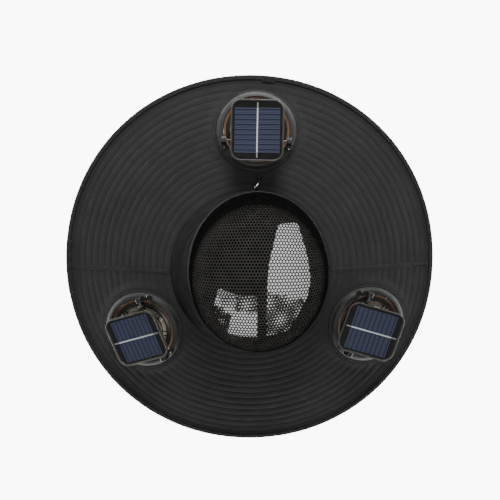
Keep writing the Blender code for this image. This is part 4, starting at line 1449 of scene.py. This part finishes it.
@dataclass
class FanUnit:
    """One fan in the brim: flange, duct, motor, rotor, guard and clamp ring."""

    form: HatForm
    place: FanPlace
    bore: float = 38.2 * MM
    crest: float = 4.6 * MM
    height: float = 7.0 * MM
    neck_wall: float = 2.0 * MM
    neck_depth: float = 6.0 * MM
    steps: int = 96
    small_steps: int = 48
    arm_half: float = 1.7 * MM
    guard_edge: float = 30.0 * MM
    guard_foot: float = 6.1 * MM
    guard_rise: float = 4.2 * MM
    guard_depth: float = 1.5 * MM
    rib_count: int = 16
    rib_start: float = 8.5 * MM
    rib_run: float = 22.5 * MM
    rib_width: float = 1.1 * MM
    rib_leans: tuple[float, ...] = (9.0, -6.0, 4.0, -10.0)
    blade_count: int = 5
    blade_tip: float = 30.3 * MM
    motor_radius: float = 9.4 * MM
    motor_height: float = 6.4 * MM
    base_thickness: float = 1.8 * MM
    rotor_top: float = 4.6 * MM
    rotor_bottom: float = -2.4 * MM
    hinge_back: float = 15.0 * MM
    hinge_height: float = 14.0 * MM
    bracket_inner: float = 34.6 * MM
    bracket_width: float = 5.6 * MM
    bracket_length: float = 8.4 * MM
    bracket_over: float = 3.6 * MM

    @property
    def frame(self) -> Matrix:
        """The fan's frame: X along its heading, Z along its axis."""
        return self.form.frames[self.place.name]

    def name(self, piece: str) -> str:
        """A piece's name with the fan's."""
        return f"{piece}_{self.place.name}"

    def add(self, piece: str, bm: Shape, finish: Finish, slot: Slot, node: str) -> Piece:
        """Adds a fixed piece of the unit, which stands for one of its CAD nodes."""
        return add_piece(self.name(piece), bm, Dress(finish, slot, stands_for=(node,)), self.frame)

    def flange(self) -> None:
        """Makes the moulded ring on the cloth, with its rounded lip and two pockets."""
        radius = self.form.flange_radius
        bore, height = self.bore, self.height
        crest = bore + self.crest
        neck = bore + self.neck_wall
        profile = [
            (radius - 0.4 * MM, GAP), (radius, 0.7 * MM), (radius, 1.6 * MM),
            (radius - 0.4 * MM, 2.2 * MM), (radius - 1.0 * MM, 2.3 * MM), (radius - 1.5 * MM, 1.9 * MM),
            (radius - 2.0 * MM, 2.1 * MM), (radius - 4.0 * MM, 3.9 * MM),
            (crest + 1.0 * MM, height - 1.6 * MM),
            (crest - 0.8 * MM, height - 0.75 * MM), (crest - 2.4 * MM, height - 0.2 * MM),
            (bore + 1.1 * MM, height), (bore + 0.3 * MM, height - 0.3 * MM), (bore, height - 1.0 * MM),
            (bore, -self.neck_depth), (neck, -self.neck_depth), (neck, GAP),
        ]
        ring = turned(profile, self.steps)
        obj = self.add("flange_ring", ring, FLANGE_PLASTIC, Slot.PLASTIC, self.name("flange"))
        start = -self.hinge_back - self.bracket_length / 2 - 1.0 * MM
        tools = []
        for sign in (1, -1):
            near = sign * (self.bracket_inner - 4 * MM)
            far = sign * (self.bracket_inner + self.bracket_width - 2 * MM)
            tool = box((start - 8 * MM, near, height - 3.4 * MM), (start, far, height + 2 * MM))
            tool.transform(self.frame)
            tools.append(tool)
        carve(obj, tools)

    def clamp_ring(self) -> None:
        """Makes the ring that clamps the cloth from below."""
        inner = self.bore + self.neck_wall + GAP
        top = -self.form.brim_cloth - GAP
        outer = inner + 6.0 * MM
        profile = [
            (outer, top), (outer, top - 1.5 * MM), (outer - 0.5 * MM, top - 2.2 * MM),
            (outer - 1.5 * MM, top - 2.85 * MM), (inner + 0.4 * MM, top - 3.0 * MM),
            (inner, top - 2.6 * MM), (inner, top),
        ]
        ring = turned(profile, self.steps)
        self.add("clamp", ring, FLANGE_PLASTIC, Slot.PLASTIC, self.name("clamp_ring"))

    def duct(self) -> None:
        """Makes the bronze-coloured duct with its sloping ledge, and the arms under the motor."""
        outer = self.bore - GAP
        inner = outer - 1.4 * MM
        bottom = -self.neck_depth
        profile = [
            (outer, 6.2 * MM), (outer, bottom), (inner, bottom), (inner, 1.6 * MM), (31.7 * MM, 2.6 * MM),
            (31.5 * MM, 4.1 * MM), (34.8 * MM, 4.2 * MM), (35.4 * MM, 4.4 * MM), (36.8 * MM, 5.6 * MM),
            (37.6 * MM, 6.2 * MM),
        ]
        shapes = [turned(profile, self.steps)]
        top = bottom + self.base_thickness
        reach, half = inner + 0.6 * MM, self.arm_half
        for x, y in ((reach, half), (half, reach)):
            shapes.append(box((-x, -y, bottom + 0.2 * MM), (x, y, top - 0.2 * MM)))
        disc = [
            (0.0, top), (10.6 * MM, top), (11.0 * MM, top - 0.4 * MM), (11.0 * MM, bottom + 0.3 * MM),
            (10.7 * MM, bottom), (0.0, bottom),
        ]
        shapes.append(turned(disc, self.small_steps, closed=False))
        self.add("air_duct", gather(shapes), DUCT_PLASTIC, Slot.BRONZE, self.name("duct"))

    def motor(self) -> None:
        """Makes the motor's can."""
        foot = -self.neck_depth + self.base_thickness + GAP
        radius, top = self.motor_radius, foot + self.motor_height
        profile = [
            (0.0, top), (radius - 0.6 * MM, top), (radius, top - 0.6 * MM), (radius, foot + 2.2 * MM),
            (radius - 0.3 * MM, foot + 2.0 * MM), (radius - 0.3 * MM, foot + 1.5 * MM),
            (radius, foot + 1.3 * MM), (radius, foot + 0.3 * MM), (radius - 0.3 * MM, foot), (0.0, foot),
        ]
        can = turned(profile, self.small_steps, closed=False)
        self.add("motor_can", can, MOTOR_STEEL, Slot.MOTOR, self.name("motor"))

    def rotor(self) -> None:
        """Makes the hub and its broad twisted blades."""
        bore = self.motor_radius + 0.5 * MM
        outer = bore + 1.5 * MM
        ceiling = -self.neck_depth + self.base_thickness + GAP + self.motor_height + 0.5 * MM
        top, bottom = self.rotor_top, self.rotor_bottom
        profile = [
            (0.0, top), (outer - 1.2 * MM, top), (outer - 0.3 * MM, top - 0.4 * MM),
            (outer, top - 1.2 * MM), (outer, bottom), (bore, bottom), (bore, ceiling), (0.0, ceiling),
        ]
        root, tip = outer - 0.8 * MM, self.blade_tip
        middle = (top + bottom) / 2 + 1.0 * MM

        def place(u: Points, v: Points) -> Points:
            radius = root + (tip - root) * u
            half = math.pi / self.blade_count * (1.01 - 0.06 * u**6)
            angle = (v * 2 - 1) * half + np.radians(10) * u
            rise = (v * 2 - 1) * (2.2 * MM - 0.2 * MM * u)
            camber = 0.5 * MM * (1 - (v * 2 - 1) ** 2)
            x, y = radius * np.cos(angle), radius * np.sin(angle)
            return np.column_stack([x, y, middle - rise + camber])

        shapes = [turned(profile, self.small_steps, closed=False)]
        for index in range(self.blade_count):
            blade = sheet(10, 12, place, (20 * MM, 24 * MM), around=False)
            shapes.append(thick_plate(blade, 1.0 * MM, math.tau * index / self.blade_count))
        body = f"rotor_{self.place.name}"
        dress = Dress(BLADE_PLASTIC, Slot.BRONZE, body, (body,))
        add_piece(self.name("blades"), gather(shapes), dress, self.frame)

    def guard_height(self, radius: Points) -> Points:
        """The height of the guard's upper face."""
        return self.guard_foot + self.guard_rise * np.clip(1 - radius / self.guard_edge, 0, 1) ** 0.8

    def guard(self) -> None:
        """Makes the ribbed guard over the rotor."""
        shapes = []
        deep = self.guard_depth
        ring = [
            (35.2 * MM, 4.6 * MM), (35.2 * MM, 4.9 * MM), (33.6 * MM, 5.8 * MM), (30.8 * MM, 6.2 * MM),
            (30.2 * MM, 5.8 * MM), (30.2 * MM, 4.6 * MM),
        ]
        shapes.append(turned(ring, self.steps))
        for radius, width in ((25.4 * MM, 0.9 * MM), (17.5 * MM, 1.1 * MM)):
            top = float(self.guard_height(radius))
            band = [
                (radius + width / 2, top - deep), (radius + width / 2, top - 0.3 * MM), (radius, top),
                (radius - width / 2, top - 0.3 * MM), (radius - width / 2, top - deep),
            ]
            shapes.append(turned(band, self.steps))
        hub_top = float(self.guard_height(9 * MM))
        hub = [
            (0.0, hub_top + 0.9 * MM), (5.0 * MM, hub_top + 0.6 * MM), (8.6 * MM, hub_top - 0.2 * MM),
            (9.0 * MM, hub_top - 0.8 * MM), (9.0 * MM, hub_top - deep), (0.0, hub_top - deep),
        ]
        shapes.append(turned(hub, self.small_steps, closed=False))
        for index in range(self.rib_count):
            lean = math.radians(self.rib_leans[index % len(self.rib_leans)])

            def place(u: Points, v: Points) -> Points:
                radius = self.rib_start + self.rib_run * u
                angle = lean * u
                side = (v - 0.5) * self.rib_width
                x = radius * np.cos(angle) - side * np.sin(angle)
                y = radius * np.sin(angle) + side * np.cos(angle)
                return np.column_stack([x, y, self.guard_height(radius) - 0.1 * MM])

            rib = sheet(14, 2, place, (22 * MM, 1.4 * MM), around=False)
            shapes.append(thick_plate(rib, 1.3 * MM, math.tau * (index + 0.5) / self.rib_count))
        self.add("grille", gather(shapes), GUARD_PLASTIC, Slot.PLASTIC, self.name("guard"))

    def brackets(self) -> None:
        """Makes the two posts that carry the panel's pins, with their screws."""
        x, bottom = -self.hinge_back, self.height + 0.05 * MM
        inner, outer = self.bracket_inner, self.bracket_inner + self.bracket_width
        for side, sign in (("a", 1), ("b", -1)):
            low = (x - self.bracket_length / 2, sign * inner, bottom)
            high = (x + self.bracket_length / 2, sign * outer, self.hinge_height + self.bracket_over)
            bm = box(low, high)
            round_ends(bm, lambda height: height > self.hinge_height, 3.2 * MM)
            node = f"bracket_{self.place.name}_{side}"
            post = self.add(f"post_{side}", bm, BRACKET_PLASTIC, Slot.PLASTIC, node)
            start = (x, sign * (inner - 2 * MM), self.hinge_height)
            end = (x, sign * (outer + 2 * MM), self.hinge_height)
            tool = rod(start, end, 1.75 * MM, 24)
            tool.transform(self.frame)
            carve(post, [tool])
            soften(post, 0.4 * MM)
            foot = (x - 6.2 * MM, sign * (inner + 2.4 * MM), self.height - 3.4 * MM)
            self.screw(self.name(f"screw_{side}"), foot, 1.5 * MM)

    def screw(self, name: str, foot: Sequence[float], radius: float) -> None:
        """Makes a small steel screw with a domed, cross-slotted head, standing on a point."""
        place = self.frame @ Matrix.Translation(foot)
        head = [
            (0.0, 1.1 * MM), (radius * 0.5, 1.0 * MM), (radius * 0.9, 0.6 * MM), (radius, 0.2 * MM),
            (radius, 0.0), (0.0, 0.0),
        ]
        obj = add_piece(name, turned(head, 20, closed=False), Dress(STEEL, Slot.SILVER), place)
        long, half = radius * 0.7, 0.18 * MM
        slots = [box((-x, -y, 0.55 * MM), (x, y, 2 * MM)) for x, y in ((long, half), (half, long))]
        for tool in slots:
            tool.transform(place)
        carve(obj, slots)

    def build(self) -> None:
        """Makes the whole unit below the panel."""
        self.flange()
        self.clamp_ring()
        self.duct()
        self.motor()
        self.rotor()
        self.guard()
        self.brackets()


@dataclass
class SolarPanel:
    """One tilting panel: tray, arms, pins, cell under resin and busbar."""

    fan: FanUnit
    length: float = 69.0 * MM
    width: float = 59.6 * MM
    corner: float = 12.0 * MM
    thickness: float = 6.5 * MM
    foot_share: float = 0.955
    forward: float = 9.0 * MM
    above_pin: float = 23.0 * MM
    lip: float = 1.7 * MM
    recess: float = 1.7 * MM
    cell_end: float = 9.25 * MM
    cell_side: float = 4.3 * MM
    cell_thickness: float = 0.6 * MM
    bar_end: float = 3.5 * MM
    bar_width: float = 1.6 * MM
    bar_thickness: float = 0.4 * MM
    arm_thickness: float = 2.6 * MM
    arm_length: float = 7.0 * MM
    pin_radius: float = 1.4 * MM

    @property
    def hinge(self) -> Matrix:
        """The panel's frame: its origin on the pins, its X along the busbar."""
        fan = self.fan
        tilt = Matrix.Rotation(-math.radians(fan.place.panel_tilt), 4, "Y")
        return fan.frame @ Matrix.Translation((-fan.hinge_back, 0.0, fan.hinge_height)) @ tilt

    def dress(self, finish: Finish, slot: Slot, *nodes: str) -> Dress:
        """The dress of a piece that tilts with the panel."""
        return Dress(finish, slot, f"panel_{self.fan.place.name}", nodes)

    def slab(self, length: float, width: float, corner: float, bottom: float, top: float) -> Shape:
        """A slab along the panel between two heights, its corners rounded."""
        bm = bmesh.new()
        bmesh.ops.create_grid(bm, x_segments=1, y_segments=1, size=0.5)
        bmesh.ops.scale(bm, vec=(length, width, 1.0), verts=bm.verts)
        bmesh.ops.translate(bm, vec=(self.forward, 0.0, bottom), verts=bm.verts)
        if corner:
            round_corners(bm, corner, 10)
        raise_flat(bm, top - bottom)
        return bm

    def map_flat(self, bm: Shape) -> None:
        """Gives a flat part a map in metres from the panel's middle."""
        chart = bm.loops.layers.uv.new("UVMap")
        for face in bm.faces:
            for loop in face.loops:
                loop[chart].uv = (loop.vert.co.x - self.forward, loop.vert.co.y)

    def tray(self) -> None:
        """Makes the tray with its raised lip, and its arms and pins."""
        top = self.above_pin
        bm = self.slab(self.length, self.width, self.corner, top - self.thickness, top)
        for vert in bm.verts:
            if vert.co.z < top - self.thickness / 2:
                vert.co.x = self.forward + (vert.co.x - self.forward) * self.foot_share
                vert.co.y *= self.foot_share
        face = max(bm.faces, key=lambda item: item.calc_center_median().z)
        bmesh.ops.inset_region(bm, faces=[face], thickness=self.lip)
        bmesh.ops.inset_region(bm, faces=[face], thickness=0.35 * MM, depth=0.0)
        bmesh.ops.translate(bm, vec=(0.0, 0.0, -self.recess), verts=face.verts)
        name = self.fan.place.name
        dress = self.dress(TRAY_PLASTIC, Slot.PANEL, f"panel_{name}")
        soften(add_piece(f"tray_{name}", bm, dress, self.hinge), 0.45 * MM, 3)
        half = self.arm_length / 2
        for side, sign in (("a", 1), ("b", -1)):
            outer = sign * (self.width / 2 - 0.4 * MM)
            inner = sign * (self.width / 2 - 0.4 * MM - self.arm_thickness)
            arm = box((-half, inner, -half), (half, outer, top - self.thickness + 0.6 * MM))
            round_ends(arm, lambda height: height < 0, 3.0 * MM)
            dress = self.dress(BRACKET_PLASTIC, Slot.PANEL)
            soften(add_piece(f"arm_{name}_{side}", arm, dress, self.hinge), 0.35 * MM)
            reach = sign * (self.fan.bracket_inner + self.fan.bracket_width - 0.4 * MM)
            pin = rod((0.0, inner, 0.0), (0.0, reach, 0.0), self.pin_radius, 20)
            dress = self.dress(PIN_PLASTIC, Slot.PANEL)
            soften(add_piece(f"pin_{name}_{side}", pin, dress, self.hinge), 0.3 * MM)

    def cell(self) -> None:
        """Makes the cell in its resin and the busbar over it."""
        name = self.fan.place.name
        floor = self.above_pin - self.recess
        foot = floor + GAP
        length = self.length - 2 * self.cell_end
        width = self.width - 2 * self.cell_side
        bed = self.slab(
            self.length - 2 * self.lip - 1.2 * MM, self.width - 2 * self.lip - 1.2 * MM,
            self.corner - self.lip - 0.6 * MM, floor + 0.02 * MM, foot + 0.12 * MM,
        )
        soften(add_piece(f"resin_{name}", bed, self.dress(RESIN, Slot.PANEL), self.hinge), 0.1 * MM)
        cell = self.slab(length, width, 0.0, foot + 0.14 * MM, foot + self.cell_thickness)
        self.map_flat(cell)
        dress = self.dress(SolarCell("silicon_cell"), Slot.CELL, f"solar_cell_{name}")
        add_piece(f"cell_{name}", cell, dress, self.hinge)
        bar_foot = foot + self.cell_thickness + 0.05 * MM
        bar_top = bar_foot + self.bar_thickness
        bar = self.slab(self.length - 2 * self.bar_end, self.bar_width, 0.4 * MM, bar_foot, bar_top)
        self.map_flat(bar)
        dress = self.dress(TIN, Slot.SILVER, f"busbar_{name}")
        soften(add_piece(f"bar_{name}", bar, dress, self.hinge), 0.12 * MM)

    def build(self) -> None:
        """Makes the whole panel."""
        self.tray()
        self.cell()


@dataclass(frozen=True)
class SoftLight:
    """A square soft light that looks at the hat; metres and watts."""

    name: str
    place: Triple
    size: float
    power: float


LIGHTS = (
    SoftLight("key", (0.1, 2.0, 1.25), 1.0, 40.0),
    SoftLight("fill", (0.0, -0.4, 2.4), 0.7, 15.0),
)


@dataclass
class Studio:
    """The pale floor, the soft lights and the camera above the hat."""

    camera_distance: float = 1.1
    tilt_forward: float = 8.6
    tilt_side: float = 0.7
    focal_pixels: float = 915.0
    frame_pixels: float = 500.0
    centre_drop: float = 11.4
    sensor: float = 36.0
    floor_radius: float = 0.50
    near_clip: float = 0.01
    far_clip: float = 20.0
    sky_strength: float = 0.18

    def camera(self) -> None:
        """Puts the camera at the photograph's angle, with the shift that its framing needs."""
        data = bpy.data.cameras.new("camera")
        data.sensor_width = self.sensor
        data.lens = self.focal_pixels / self.frame_pixels * self.sensor
        data.shift_y = self.centre_drop / self.frame_pixels
        data.clip_start = self.near_clip
        data.clip_end = self.far_clip
        side = -math.sin(math.radians(self.tilt_side))
        ahead = math.sin(math.radians(self.tilt_forward))
        back = Vector((side, ahead, 1.0)).normalized()
        right = Vector((0.0, 1.0, 0.0)).cross(back).normalized()
        up = back.cross(right)
        turn = Matrix((right, up, back)).transposed().to_4x4()
        obj = link("camera", data)
        obj.matrix_world = Matrix.Translation(back * self.camera_distance) @ turn
        bpy.context.scene.camera = obj

    def light(self, light: SoftLight) -> None:
        """Adds a light."""
        data = bpy.data.lights.new(light.name, "AREA")
        data.size = light.size
        data.energy = light.power
        spot = Vector(light.place)
        turn = spot.to_track_quat("Z", "Y").to_matrix().to_4x4()
        link(light.name, data).matrix_world = Matrix.Translation(spot) @ turn

    def floor(self) -> None:
        """Lays the plain pale floor."""
        bm = bmesh.new()
        bmesh.ops.create_circle(bm, cap_ends=True, segments=96, radius=self.floor_radius)
        mesh = to_mesh("floor", bm)
        mesh.materials.append(Floor("pale_floor").material())
        link("floor", mesh)

    def world(self) -> None:
        """Fills the shadows with a pale even sky."""
        world = bpy.data.worlds.new("studio")
        world.use_nodes = True
        background = world.node_tree.nodes["Background"]
        background.inputs[0].default_value = (1.0, 1.0, 1.0, 1.0)
        background.inputs[1].default_value = self.sky_strength
        bpy.context.scene.world = world

    def build(self) -> None:
        """Sets up the whole studio."""
        self.camera()
        self.floor()
        self.world()
        for light in LIGHTS:
            self.light(light)


def corners(bounds: Sequence[Sequence[float]]) -> list[list[float]]:
    """A box's two corners as plain lists of numbers."""
    return [[float(part) for part in corner] for corner in bounds]


def main() -> None:
    """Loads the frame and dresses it."""
    logging.basicConfig(level=logging.INFO, format="%(name)s: %(message)s")
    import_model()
    form = HatForm()
    Studio().build()
    Brim(form).build()
    Crown(form).build()
    Hook(form).build()
    for place in FANS:
        fan = FanUnit(form, place)
        fan.build()
        SolarPanel(fan).build()


if __name__ == "__main__":
    main()
